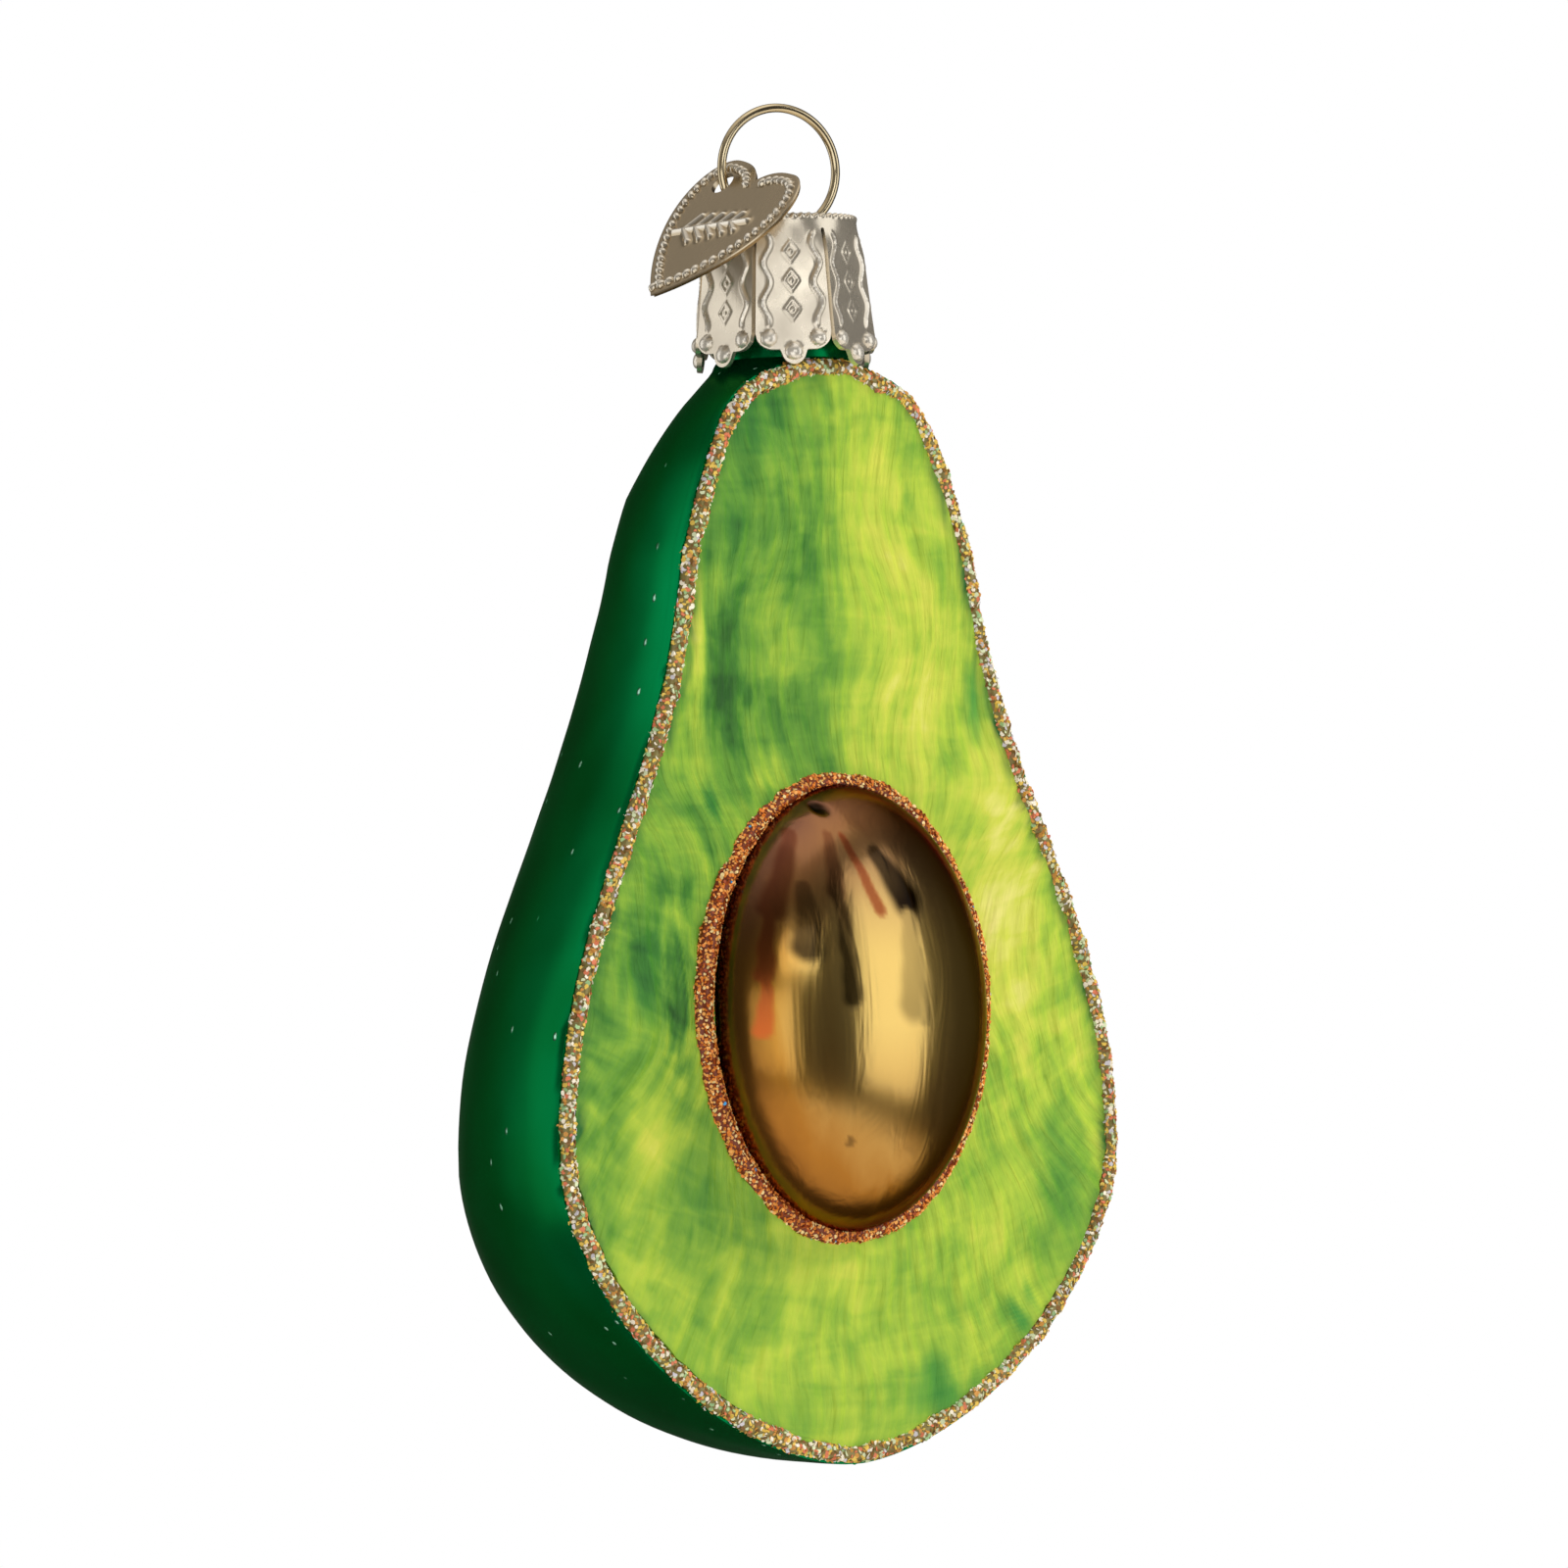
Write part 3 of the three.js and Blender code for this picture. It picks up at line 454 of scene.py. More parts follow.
def greenLacquer():
    # transparent green lacquer over silvered, mould-blown glass: a deep green mirror with tiny raised pips
    material, tree, bsdf = newMaterial("greenLacqueredGlass", Metallic=0.88, Roughness=0.27,
                                       Specular_IOR_Level=0.1, Specular_Tint=hexColor("#1F9E5A"))
    place = addNode(tree, "ShaderNodeTexCoord").outputs["Object"]
    thick = addNode(tree, "ShaderNodeTexNoise", {"Scale": perMetre(11.1111), "Detail": 2}, {"Vector": place})
    colour = addNode(tree, "ShaderNodeValToRGB", {"stops": [(0.3, "#007038"), (0.7, "#00864A")]},
                     {"Fac": thick.outputs["Fac"]})
    # drops of thicker lacquer, about 0.3 by 0.5 mm and 2.2 mm apart, in loose patches
    apart = (perMetre(2.2222), perMetre(2.2222), perMetre(3.8462))
    upright = addNode(tree, "ShaderNodeMapping", {"Scale": apart}, {"Vector": place})
    pips = addNode(tree, "ShaderNodeTexVoronoi", {"Scale": 1.0}, {"Vector": upright.outputs[0]})
    dot = addNode(tree, "ShaderNodeMapRange", {
        "From Min": 0.04, "From Max": 0.1, "To Min": 1, "To Max": 0, "interpolation_type": "SMOOTHSTEP"},
        {0: pips.outputs["Distance"]})
    patch = addNode(tree, "ShaderNodeTexNoise", {"Scale": perMetre(13.3333), "Detail": 2}, {"Vector": place})
    gate = addNode(tree, "ShaderNodeMapRange", {"From Min": 0.43, "From Max": 0.47},
                   {0: patch.outputs["Fac"]})
    shown = addNode(tree, "ShaderNodeMath", {"operation": "MULTIPLY"},
                    {0: dot.outputs[0], 1: gate.outputs[0]})
    # the pips are also painted pale mint: a painted highlight for their glints
    paintedGlints = addNode(tree, "ShaderNodeMix", {"data_type": "RGBA", 7: hexColor("#C8FFE4")},
                      {0: shown.outputs[0], 6: colour.outputs["Color"]})
    tree.links.new(paintedGlints.outputs[2], bsdf.inputs["Base Color"])
    bump = addNode(tree, "ShaderNodeBump", {"Strength": 1.0, "Distance": 0.15 * mm},
                   {"Height": shown.outputs[0]})
    tree.links.new(bump.outputs["Normal"], bsdf.inputs["Normal"])
    return material


print("glass")
finishPiece(makeGlass(), "glass_body", "glass", greenLacquer())


# Flesh: one brushed sheet of enamel that follows the cut face, with the pit's hole cut out

flesh = {
    "columns": 170, "rows": 250, "inset": 1.35, "thickness": 0.3, "lift": 0.32, "relief": 0.22,
    # margins at the top and the foot, and how far the edge leans with the outline's slope above and below
    # the height leanTurn, all in insets
    "topMargin": 0.8, "footMargin": 1.0, "leanAbove": 0.25, "leanBelow": -0.6, "leanTurn": -60,
    "leastReach": 0.02, "hole": (13.3, 17.0), "punchDepth": 8,
    # below the neck the strokes fan out from fanRise above the pit's middle, fully so past the second fanFade
    "fanRise": 25.0, "fanFade": (7, 32), "fanReach": 38,
    # noise that bends the strokes, swells the paint, leaves the brush's marks and ridges, frays the
    # patches' edges and makes the seam wander
    "bend": (2.4, 0.08, 0.1, 31), "swell": (0.8, 0.16, 0.1, 5), "marks": (0.8, 0.75, 0.11, 3),
    "ridges": (1.0, 1.6, 0.16, 9), "ridgeShare": (0.35, 1.0), "ridgeTurn": (-50, -80),
    "fray": (1.3, 0.9, 0.16, 21), "frayUp": 1.5, "frayBelly": 2, "wander": (2.6, 0, 0.09, 14),
    # the neck is dark left of its seam and light right of it, the belly nearly even
    "middleTone": 0.5, "neckTones": (-0.1, 0.13), "seam": 0.8, "seamSoft": 1.8,
    "bellyTone": 0.04, "bellyTurn": (-14, 8), "bellyFade": (-66, -86),
    "patchFade": (0.1, 1.6), "darkRimWidth": 1.6,
    # brushed patches, and one painted shadow beside the pit: middle across and up, half width, half height,
    # lightness, emerald
    "patches": [
        (-7.8, -23.6, 3.0, 4.0, -0.18, 0.2), (-9.8, -32.5, 2.6, 4.6, -0.2, 0.1),
        (-11.4, -43.0, 2.2, 5.6, -0.26, 0.0), (-14.0, -39.5, 0.9, 6.5, 0.3, 0.0),
        (-1.8, -47.0, 3.4, 4.4, -0.06, 0.0), (-7.2, -50.0, 1.7, 1.5, 0.3, 0.0),
        (-12.8, -52.2, 1.1, 1.6, -0.3, 0.4), (-19.8, -64.5, 2.0, 4.6, -0.26, 0.2),
        # the first patch on this line, a dark line just left of the pit's glitter, is painted shade: the
        # pit's shadow and reflection
        (-16.8, -67.5, 0.7, 6.5, -0.3, 0.0), (14.6, -44.8, 1.3, 2.6, -0.2, 0.9),
        (22.8, -80.0, 2.8, 5.5, -0.26, 0.2), (17.5, -91.5, 1.8, 1.5, -0.2, 0.8),
        (9.0, -97.0, 4.0, 2.2, -0.2, 0.6), (4.6, -27.0, 3.4, 4.0, 0.08, 0.0),
        (6.2, -38.0, 3.6, 9.0, 0.12, 0.0), (-1.6, -87.5, 5.0, 3.6, 0.14, 0.0),
        (-22.4, -86.5, 1.8, 4.0, 0.16, 0.0), (-16.0, -81.5, 2.8, 4.0, -0.12, 0.1),
        (-19.8, -76.0, 2.6, 3.6, 0.28, 0.0), (17.0, -60.0, 3.2, 9.0, 0.24, 0.0),
        (-10.0, -95.5, 5.0, 2.4, 0.12, 0.0), (-4.0, -33.5, 3.0, 5.0, -0.06, 0.0),
        (3.0, -95.0, 4.0, 4.0, 0.02, 0.0), (-15.0, -52.0, 3.0, 5.0, 0.04, 0.0),
        (20.5, -67.0, 3.0, 4.0, 0.1, 0.0), (13.7, -88.0, 3.0, 3.6, 0.12, 0.0),
        (-9.0, -40.0, 2.2, 3.0, -0.12, 0.0),
    ],
}


def brushPlace(x, z):
    # place across and along the brush strokes: upright on the neck, fanning out lower down, never straight
    x += drawnNoise(flesh["bend"], x, z)
    fromTop = Vector((x, z - pit["z"] - flesh["fanRise"]))
    share = smooth(*flesh["fanFade"], -fromTop.y)
    turned = math.atan2(x, max(0.01, -fromTop.y)) * flesh["fanReach"]
    return x + (turned - x) * share, fromTop.y + (-fromTop.length - fromTop.y) * share


def fleshRelief(x, z):
    # ridges that the brush left in the paint, deeper below the pit
    strokes = brushPlace(x, z)
    shallow, deep = flesh["ridgeShare"]
    share = shallow + (deep - shallow) * smooth(*flesh["ridgeTurn"], z)
    broad = drawnNoise(flesh["swell"], x, z) + drawnNoise(flesh["marks"], *strokes)
    return broad + drawnNoise(flesh["ridges"], *strokes) * share


def fleshTone(x, z):
    # lightness from 0 to 1, and how emerald the paint is
    frayed = drawnNoise(flesh["fray"], *brushPlace(x, z))
    wander = drawnNoise(flesh["wander"], 0, z)
    (left, right), soft = flesh["neckTones"], flesh["seamSoft"]
    neck = left + (right - left) * smooth(-soft, soft, x - flesh["seam"] + frayed + wander)
    belly = flesh["bellyTone"] * smooth(*flesh["bellyTurn"], x + flesh["frayBelly"] * frayed)
    light = flesh["middleTone"] + neck + (belly - neck) * smooth(*flesh["bellyFade"], z)
    emerald = 0
    for middle, up, halfWidth, halfHeight, lighter, greener in flesh["patches"]:
        away = math.hypot((x - middle + frayed) / halfWidth,
                          (z - up + flesh["frayUp"] * frayed) / halfHeight)
        share = 1 - smooth(*flesh["patchFade"], away)
        light += lighter * share
        emerald += greener * share
    return min(1, max(0, light)), min(1, emerald)


def makeFlesh():
    inset, top = flesh["inset"], bulb["neckFoot"] - flesh["inset"] * flesh["topMargin"]
    tall = bulb["neckFoot"] - bulb["bottom"] - inset * (flesh["topMargin"] + flesh["footMargin"])

    def place(u, v):
        z = top - v * tall
        lean = flesh["leanAbove"] if z > flesh["leanTurn"] else flesh["leanBelow"]
        reach = max(flesh["leastReach"], reachAt(faceLine, z + inset * lean) - inset)
        x = (2 * u - 1) * reach
        relief = fleshRelief(x, z)
        return Vector((x, faceY - flesh["lift"] - flesh["relief"] * relief, z)), relief

    piece = mappedGrid("fleshSheet", flesh["columns"], flesh["rows"], place)
    turnFaces(piece, Vector((0, -1, 0)), len(piece.data.polygons) // 2)
    applyModifier(piece, "SOLIDIFY", thickness=flesh["thickness"], offset=-1)
    punch = addPiece("punch", bpy.ops.mesh.primitive_cylinder_add, vertices=96, radius=1, depth=1,
                     location=(0, faceY, pit["z"]), rotation=(math.pi / 2, 0, 0),
                     scale=(*flesh["hole"], flesh["punchDepth"]))
    cutWith(piece, punch, "DIFFERENCE")
    # the strokes' own coordinates in millimetres, and the paint's tone
    strokes = piece.data.uv_layers.new(name="strokes")
    paint = piece.data.attributes.new("paint", "FLOAT_COLOR", "POINT")
    for vertex in piece.data.vertices:
        x, z = vertex.co.x, vertex.co.z
        light, emerald = fleshTone(x, z)
        # closeness to the rim, for the darker green there, which is partly painted shade
        rim = 1 - smooth(0, flesh["darkRimWidth"], reachAt(faceLine, z) - inset - abs(x))
        paint.data[vertex.index].color = (light, emerald, rim, 1)
    for corner in piece.data.loops:
        co = piece.data.vertices[corner.vertex_index].co
        strokes.data[corner.index].uv = brushPlace(co.x, co.z)
    return piece


def brushedEnamel():
    # hand-brushed satin enamel: soft streaks of yellow-green and darker green, with the marks of the brush
    material, tree, bsdf = newMaterial("brushedEnamel", Roughness=0.42, IOR=1.5, Specular_IOR_Level=0.22)
    strokes = addNode(tree, "ShaderNodeUVMap", {"uv_map": "strokes"})

    def streaks(across, along, detail):
        # noise drawn out along the strokes, sizes in millimetres
        stretch = addNode(tree, "ShaderNodeMapping", {"Scale": (1 / across, 1 / along, 1)},
                          {0: strokes.outputs[0]})
        drawn = addNode(tree, "ShaderNodeTexNoise", {"Scale": 1.0, "Detail": detail, "Distortion": 0.5},
                        {"Vector": stretch.outputs[0]})
        return drawn.outputs["Fac"]

    paint = addNode(tree, "ShaderNodeAttribute", {"attribute_name": "paint"})
    parts = addNode(tree, "ShaderNodeSeparateColor", {}, {0: paint.outputs["Color"]})
    marks = streaks(1.6, 5.0, 3)
    hairs = streaks(0.35, 5.0, 2)
    tone = parts.outputs["Red"]
    for layer, weight in ((streaks(6.0, 12.0, 2), 0.38), (streaks(3.6, 5.0, 4), 0.58), (marks, 0.3),
                          (streaks(0.8, 3.5, 3), 0.15), (streaks(6.0, 1.6, 2), 0.26), (hairs, 0.06)):
        swing = addNode(tree, "ShaderNodeMath", {"operation": "MULTIPLY_ADD", 1: weight, 2: -weight / 2},
                        {0: layer})
        added = addNode(tree, "ShaderNodeMath", {"operation": "ADD"}, {0: tone, 1: swing.outputs[0]})
        tone = added.outputs[0]
    colour = addNode(tree, "ShaderNodeValToRGB", {"stops": [
        (0.06, "#2A5A22"), (0.22, "#407A28"), (0.36, "#639630"), (0.5, "#86AE35"), (0.64, "#ABC43C"),
        (0.8, "#C9CF4A"), (1.0, "#E2DC78")]}, {"Fac": tone})
    emerald = addNode(tree, "ShaderNodeMath", {"operation": "MULTIPLY", 1: 0.7}, {0: parts.outputs["Green"]})
    greener = addNode(tree, "ShaderNodeMix", {"data_type": "RGBA", 7: hexColor("#1E8C3C")},
                      {0: emerald.outputs[0], 6: colour.outputs["Color"]})
    # darker green by the rim, in streaks: thin paint letting the green glass through, and painted shade
    # beside the glitter bead
    rimStreaks = addNode(tree, "ShaderNodeMath", {"operation": "MULTIPLY_ADD", 1: 3.2, 2: -1.1}, {0: marks})
    wearAndPaintedLight = addNode(tree, "ShaderNodeMath", {"operation": "MULTIPLY"},
                   {0: parts.outputs["Blue"], 1: rimStreaks.outputs[0]})
    wearAndPaintedLight = addNode(tree, "ShaderNodeClamp", {}, {0: wearAndPaintedLight.outputs[0]})
    edged = addNode(tree, "ShaderNodeMix", {"data_type": "RGBA", 7: hexColor("#2F6A2C")},
                    {0: wearAndPaintedLight.outputs[0], 6: greener.outputs[2]})
    tree.links.new(edged.outputs[2], bsdf.inputs["Base Color"])
    height = addNode(tree, "ShaderNodeMath", {"operation": "MULTIPLY_ADD", 1: 2.0}, {0: marks, 2: hairs})
    bump = addNode(tree, "ShaderNodeBump", {"Strength": 0.8, "Distance": 0.13 * mm},
                   {"Height": height.outputs[0]})
    tree.links.new(bump.outputs["Normal"], bsdf.inputs["Normal"])
    return material


print("flesh")
finishPiece(makeFlesh(), "flesh_enamel", "glass", brushedEnamel())


# Pit: a blown dome, silvered inside and lacquered brown

def runShare(x, z, start, end, halfWidth):
    # how far a place lies in a run of lacquer that swells towards its round end, and how far down it is
    line = Vector(end) - Vector(start)
    down = min(1, max(0, (Vector((x, z)) - Vector(start)).dot(line) / line.length_squared))
    away = (Vector((x, z)) - Vector(start) - line * down).length
    wide = halfWidth * (pit["runNeck"] + (1 - pit["runNeck"]) * down)
    return 1 - smooth(*pit["runFade"], away / wide), down


def fromNotch(co):
    # distance from the pinched end of the dome, in its radii
    return math.hypot(co.x - pit["notch"][0], co.z - pit["notch"][1]) / pit["notchRadius"]


def makePit():
    grown = [pit[key] + pit["coat"] for key in ("halfWidth", "bulge", "halfHeight")]
    piece = addPiece("pitDome", bpy.ops.mesh.primitive_uv_sphere_add, segments=256, ring_count=160, radius=1,
                     location=(0, faceY, pit["z"]), scale=grown)
    bpy.ops.object.transform_apply(location=True, rotation=True, scale=True)
    editSelected(piece)
    bpy.ops.mesh.bisect(plane_co=(0, faceY, 0), plane_no=(0, 1, 0), clear_outer=True)
    bpy.ops.object.mode_set(mode="OBJECT")
    for vertex in piece.data.vertices:
        vertex.co.y += pit["notchDepth"] * (1 - smooth(0, 1, fromNotch(vertex.co)))
    applyModifier(piece, "SOLIDIFY", thickness=pit["thickness"], offset=-1)
    # how dark, red and orange the lacquer runs are at each place
    runs = piece.data.attributes.new("runs", "FLOAT_COLOR", "POINT")
    for vertex in piece.data.vertices:
        x, z = vertex.co.x, vertex.co.z
        tone = Vector((0, 0, 0))
        for start, end, halfWidth, atStart, atEnd in pit["runs"]:
            share, down = runShare(x + drawnNoise(pit["runWaver"], 0, z), z, start, end, halfWidth)
            tone = tone.lerp(Vector(atStart).lerp(Vector(atEnd), down), share)
        # the lacquer is darker round the notch
        tone.x = max(tone.x, 1 - smooth(*pit["notchDarkening"], fromNotch(vertex.co)))
        runs.data[vertex.index].color = (*tone, 1)
    return piece


def brownLacquer():
    # translucent brown lacquer over the silvered dome: an amber mirror, darker where the coat pools or runs;
    # the darkening towards the dome's foot is partly painted shade
    material, tree, bsdf = newMaterial("brownLacquerOnSilver", Metallic=1.0, Roughness=0.2, Coat_Weight=0.1,
                                       Coat_Roughness=0.08, Specular_Tint=hexColor("#8A6A38"))
    place = addNode(tree, "ShaderNodeTexCoord").outputs["Object"]
    xyz = addNode(tree, "ShaderNodeSeparateXYZ", {}, {0: place})
    drawn = (perMetre(2.85714), perMetre(2.85714), perMetre(14.2857))
    upright = addNode(tree, "ShaderNodeMapping", {"Scale": drawn}, {"Vector": place})
    coat = addNode(tree, "ShaderNodeTexNoise", {"Scale": 1.0, "Detail": 3, "Distortion": 0.8},
                   {"Vector": upright.outputs[0]})
    # the coat is thick where the dome meets the face and thin on its crest, so it darkens towards the foot;
    # this darkening is also painted shade for the dome's edges
    crest = addNode(tree, "ShaderNodeMapRange", {
        "From Min": (faceY - pit["thickTo"]) * mm, "From Max": (faceY - pit["bulge"]) * mm,
        "To Min": -0.06, "To Max": 0.86}, {0: xyz.outputs["Y"]})
    tone = addNode(tree, "ShaderNodeMath", {"operation": "MULTIPLY_ADD", 1: 0.3},
                   {0: coat.outputs["Fac"], 2: crest.outputs[0]})
    colour = addNode(tree, "ShaderNodeValToRGB", {"stops": [
        (0.12, "#553B1A"), (0.34, "#7A5420"), (0.6, "#BC8734"), (0.9, "#F0CB74")]}, {"Fac": tone.outputs[0]})
    # lower down the lacquer is redder, near the top it is a dull rose brown
    low = addNode(tree, "ShaderNodeMapRange", {
        "From Min": pit["redBelow"][0] * mm, "From Max": pit["redBelow"][1] * mm,
        "To Min": 0, "To Max": 0.5}, {0: xyz.outputs["Z"]})
    high = addNode(tree, "ShaderNodeMapRange", {
        "From Min": pit["roseAbove"][0] * mm, "From Max": pit["roseAbove"][1] * mm,
        "To Min": 0, "To Max": 0.6, "interpolation_type": "SMOOTHSTEP"}, {0: xyz.outputs["Z"]})
    runs = addNode(tree, "ShaderNodeAttribute", {"attribute_name": "runs"})
    parts = addNode(tree, "ShaderNodeSeparateColor", {}, {0: runs.outputs["Color"]}).outputs
    shade = colour.outputs["Color"]
    for share, code in ((low.outputs[0], "#B4702C"), (high.outputs[0], "#926254"), (parts["Blue"], "#C9642A"),
                        (parts["Green"], "#7A2E1A"), (parts["Red"], "#1E1206")):
        over = addNode(tree, "ShaderNodeMix", {"data_type": "RGBA", 7: hexColor(code)}, {0: share, 6: shade})
        shade = over.outputs[2]
    tree.links.new(shade, bsdf.inputs["Base Color"])
    bump = addNode(tree, "ShaderNodeBump", {"Strength": 0.25, "Distance": 0.3 * mm},
                   {"Height": coat.outputs["Fac"]})
    tree.links.new(bump.outputs["Normal"], bsdf.inputs["Normal"])
    return material


print("pit")
finishPiece(makePit(), "pit_lacquer", "glass", brownLacquer())


# Glitter: lumpy beads of glue, strewn with hexagonal flakes

# film is the flakes' colours, each from a share of them on: gold and silver with some rose and green,
# and copper with a few blue ones
rimTrim = {
    "inset": 0.82, "radius": 0.66, "squash": 0.95, "lumps": 0.45, "lumpSize": 1.8,
    "flake": 0.19, "perArea": 19.0, "apart": 0.19, "tilt": 0.7, "seed": 4, "glue": "#857843",
    "film": [(0.01, "#F2CC5C"), (0.22, "#FFF4DC"), (0.4, "#D89A4A"), (0.52, "#86602E"), (0.65, "#DFE8BC"),
             (0.76, "#E8835C"), (0.87, "#A8CC90"), (0.93, "#DCD6DC")],
}
pitTrim = {
    "halfWidth": 14.25, "halfHeight": 17.0, "halfSteps": 90, "endShare": 0.8,
    "radius": 0.98, "squash": 0.95, "lumps": 0.35, "lumpSize": 1.6,
    "flake": 0.14, "perArea": 26.0, "apart": 0.15, "tilt": 0.8, "seed": 9, "glue": "#74300F",
    "film": [(0.01, "#EE8A34"), (0.34, "#A84A1A"), (0.55, "#FFB55E"), (0.83, "#FFE29E"), (0.996, "#3FA6E4")],
}
flakes = {"thickness": 0.06, "sizes": (0.7, 1.25), "spin": 3.1, "tones": (0.02, 1.0), "frontOf": 0.25}


def gluedBead(name, points, trim):
    # a closed tube along the points (place and share of the radius), pressed to the face and made lumpy
    curve = bpy.data.curves.new(name, "CURVE")
    curve.dimensions = "3D"
    spline = curve.splines.new("POLY")
    spline.points.add(len(points) - 1)
    for point, (x, z, share) in zip(spline.points, points):
        point.co = (x, faceY, z, 1)
        point.radius = share
    spline.use_cyclic_u = True
    curve.bevel_depth, curve.bevel_resolution = trim["radius"], 4
    piece = curvePiece(name, curve)
    editSelected(piece)
    bpy.ops.transform.resize(value=(1, trim["squash"], 1), center_override=(0, faceY, 0))
    bpy.ops.object.mode_set(mode="OBJECT")
    lumpy = bpy.data.textures.new(name, "CLOUDS")
    lumpy.noise_scale, lumpy.noise_depth = trim["lumpSize"], 1
    applyModifier(piece, "DISPLACE", texture=lumpy, texture_coords="LOCAL", strength=trim["lumps"],
                  mid_level=0.5)
    return piece


def strewFlakes(piece, trim):
    # one hexagonal flake is strewn over the bead's front, each copy turned, sized and toned at random
    flake = addPiece("flake", bpy.ops.mesh.primitive_cylinder_add, vertices=6, radius=trim["flake"],
                     depth=flakes["thickness"])
    tilt, seed, spin = trim["tilt"], trim["seed"], flakes["spin"]
    (small, large), (lowTone, highTone) = flakes["sizes"], flakes["tones"]
    tree = bpy.data.node_groups.new("strew", "GeometryNodeTree")
    tree.interface.new_socket("Geometry", in_out="INPUT", socket_type="NodeSocketGeometry")
    tree.interface.new_socket("Geometry", in_out="OUTPUT", socket_type="NodeSocketGeometry")
    bead = addNode(tree, "NodeGroupInput")
    where = addNode(tree, "GeometryNodeInputPosition")
    xyz = addNode(tree, "ShaderNodeSeparateXYZ", {}, {0: where.outputs[0]})
    front = addNode(tree, "FunctionNodeCompare", {"operation": "LESS_THAN", "B": faceY + flakes["frontOf"]},
                    {"A": xyz.outputs["Y"]})
    points = addNode(tree, "GeometryNodeDistributePointsOnFaces", {
        "distribute_method": "POISSON", "Distance Min": trim["apart"], "Density Max": trim["perArea"],
        "Seed": seed}, {"Mesh": bead.outputs[0], "Selection": front.outputs[0]})
    shape = addNode(tree, "GeometryNodeObjectInfo", {"Object": flake})
    lean = addNode(tree, "FunctionNodeRandomValue", {
        "data_type": "FLOAT_VECTOR", "Seed": seed + 1, 0: (-tilt, -tilt, -spin), 1: (tilt, tilt, spin)})
    turned = addNode(tree, "FunctionNodeRotateRotation", {"rotation_space": "LOCAL"},
                     {0: points.outputs["Rotation"], 1: lean.outputs[0]})
    size = addNode(tree, "FunctionNodeRandomValue", {
        "data_type": "FLOAT", "Seed": seed + 2, 2: small, 3: large})
    strewn = addNode(tree, "GeometryNodeInstanceOnPoints", {},
                     {"Points": points.outputs[0], "Instance": shape.outputs["Geometry"],
                      "Rotation": turned.outputs[0], "Scale": size.outputs[1]})
    tone = addNode(tree, "FunctionNodeRandomValue", {
        "data_type": "FLOAT", "Seed": seed + 3, 2: lowTone, 3: highTone})
    toned = addNode(tree, "GeometryNodeStoreNamedAttribute", {"domain": "INSTANCE", "Name": "flakeTone"},
                    {"Geometry": strewn.outputs[0], "Value": tone.outputs[1]})
    real = addNode(tree, "GeometryNodeRealizeInstances", {}, {0: toned.outputs[0]})
    both = addNode(tree, "GeometryNodeJoinGeometry")
    tree.links.new(bead.outputs[0], both.inputs[0])
    tree.links.new(real.outputs[0], both.inputs[0])
    addNode(tree, "NodeGroupOutput", {}, {0: both.outputs[0]})
    applyModifier(piece, "NODES", node_group=tree)
    bpy.data.objects.remove(flake)


def glitterMaterial(name, trim):
    # cut polyester film in clear glue: each flake has one tint, some are plainly bright, and between them
    # the glue shows
    material, tree, bsdf = newMaterial(name, Metallic=0.2, Roughness=0.28)
    tone = addNode(tree, "ShaderNodeAttribute", {"attribute_name": "flakeTone"})
    colour = addNode(tree, "ShaderNodeValToRGB", {"stops": [(0.0, trim["glue"])] + trim["film"]},
                     {"Fac": tone.outputs["Fac"]})
    colour.color_ramp.interpolation = "CONSTANT"
    tree.links.new(colour.outputs["Color"], bsdf.inputs["Base Color"])
    return material


def rimPath():
    side = []
    for i, (reach, z) in enumerate(faceLine):
        before, after = faceLine[max(0, i - 1)], faceLine[min(len(faceLine) - 1, i + 1)]
        along = Vector((after[0] - before[0], after[1] - before[1])).normalized()
        x = reach + along.y * rimTrim["inset"]
        if x > 0:
            side.append((x, z - along.x * rimTrim["inset"]))
    return [(x, z, 1) for x, z in side] + [(-x, z, 1) for x, z in reversed(side)]


def pitPath():
    # the band is narrow at the top and the bottom
    path = []
    for i in range(2 * pitTrim["halfSteps"]):
        turn = i / pitTrim["halfSteps"] * math.pi
        x, z = pitTrim["halfWidth"] * math.cos(turn), pit["z"] + pitTrim["halfHeight"] * math.sin(turn)
        path.append((x, z, pitTrim["endShare"] + (1 - pitTrim["endShare"]) * math.cos(turn) ** 2))
    return path


print("glitter")
rimBead = gluedBead("rimGlitter", rimPath(), rimTrim)
strewFlakes(rimBead, rimTrim)
finishPiece(rimBead, "rim_glitter", "glass", glitterMaterial("coarseGoldGlitter", rimTrim))
pitBead = gluedBead("pitGlitter", pitPath(), pitTrim)
strewFlakes(pitBead, pitTrim)
finishPiece(pitBead, "pit_glitter", "glass", glitterMaterial("fineCopperGlitter", pitTrim))


# Crown cap: one petal's wedge is stamped as a grid, copied round the neck and joined along the top

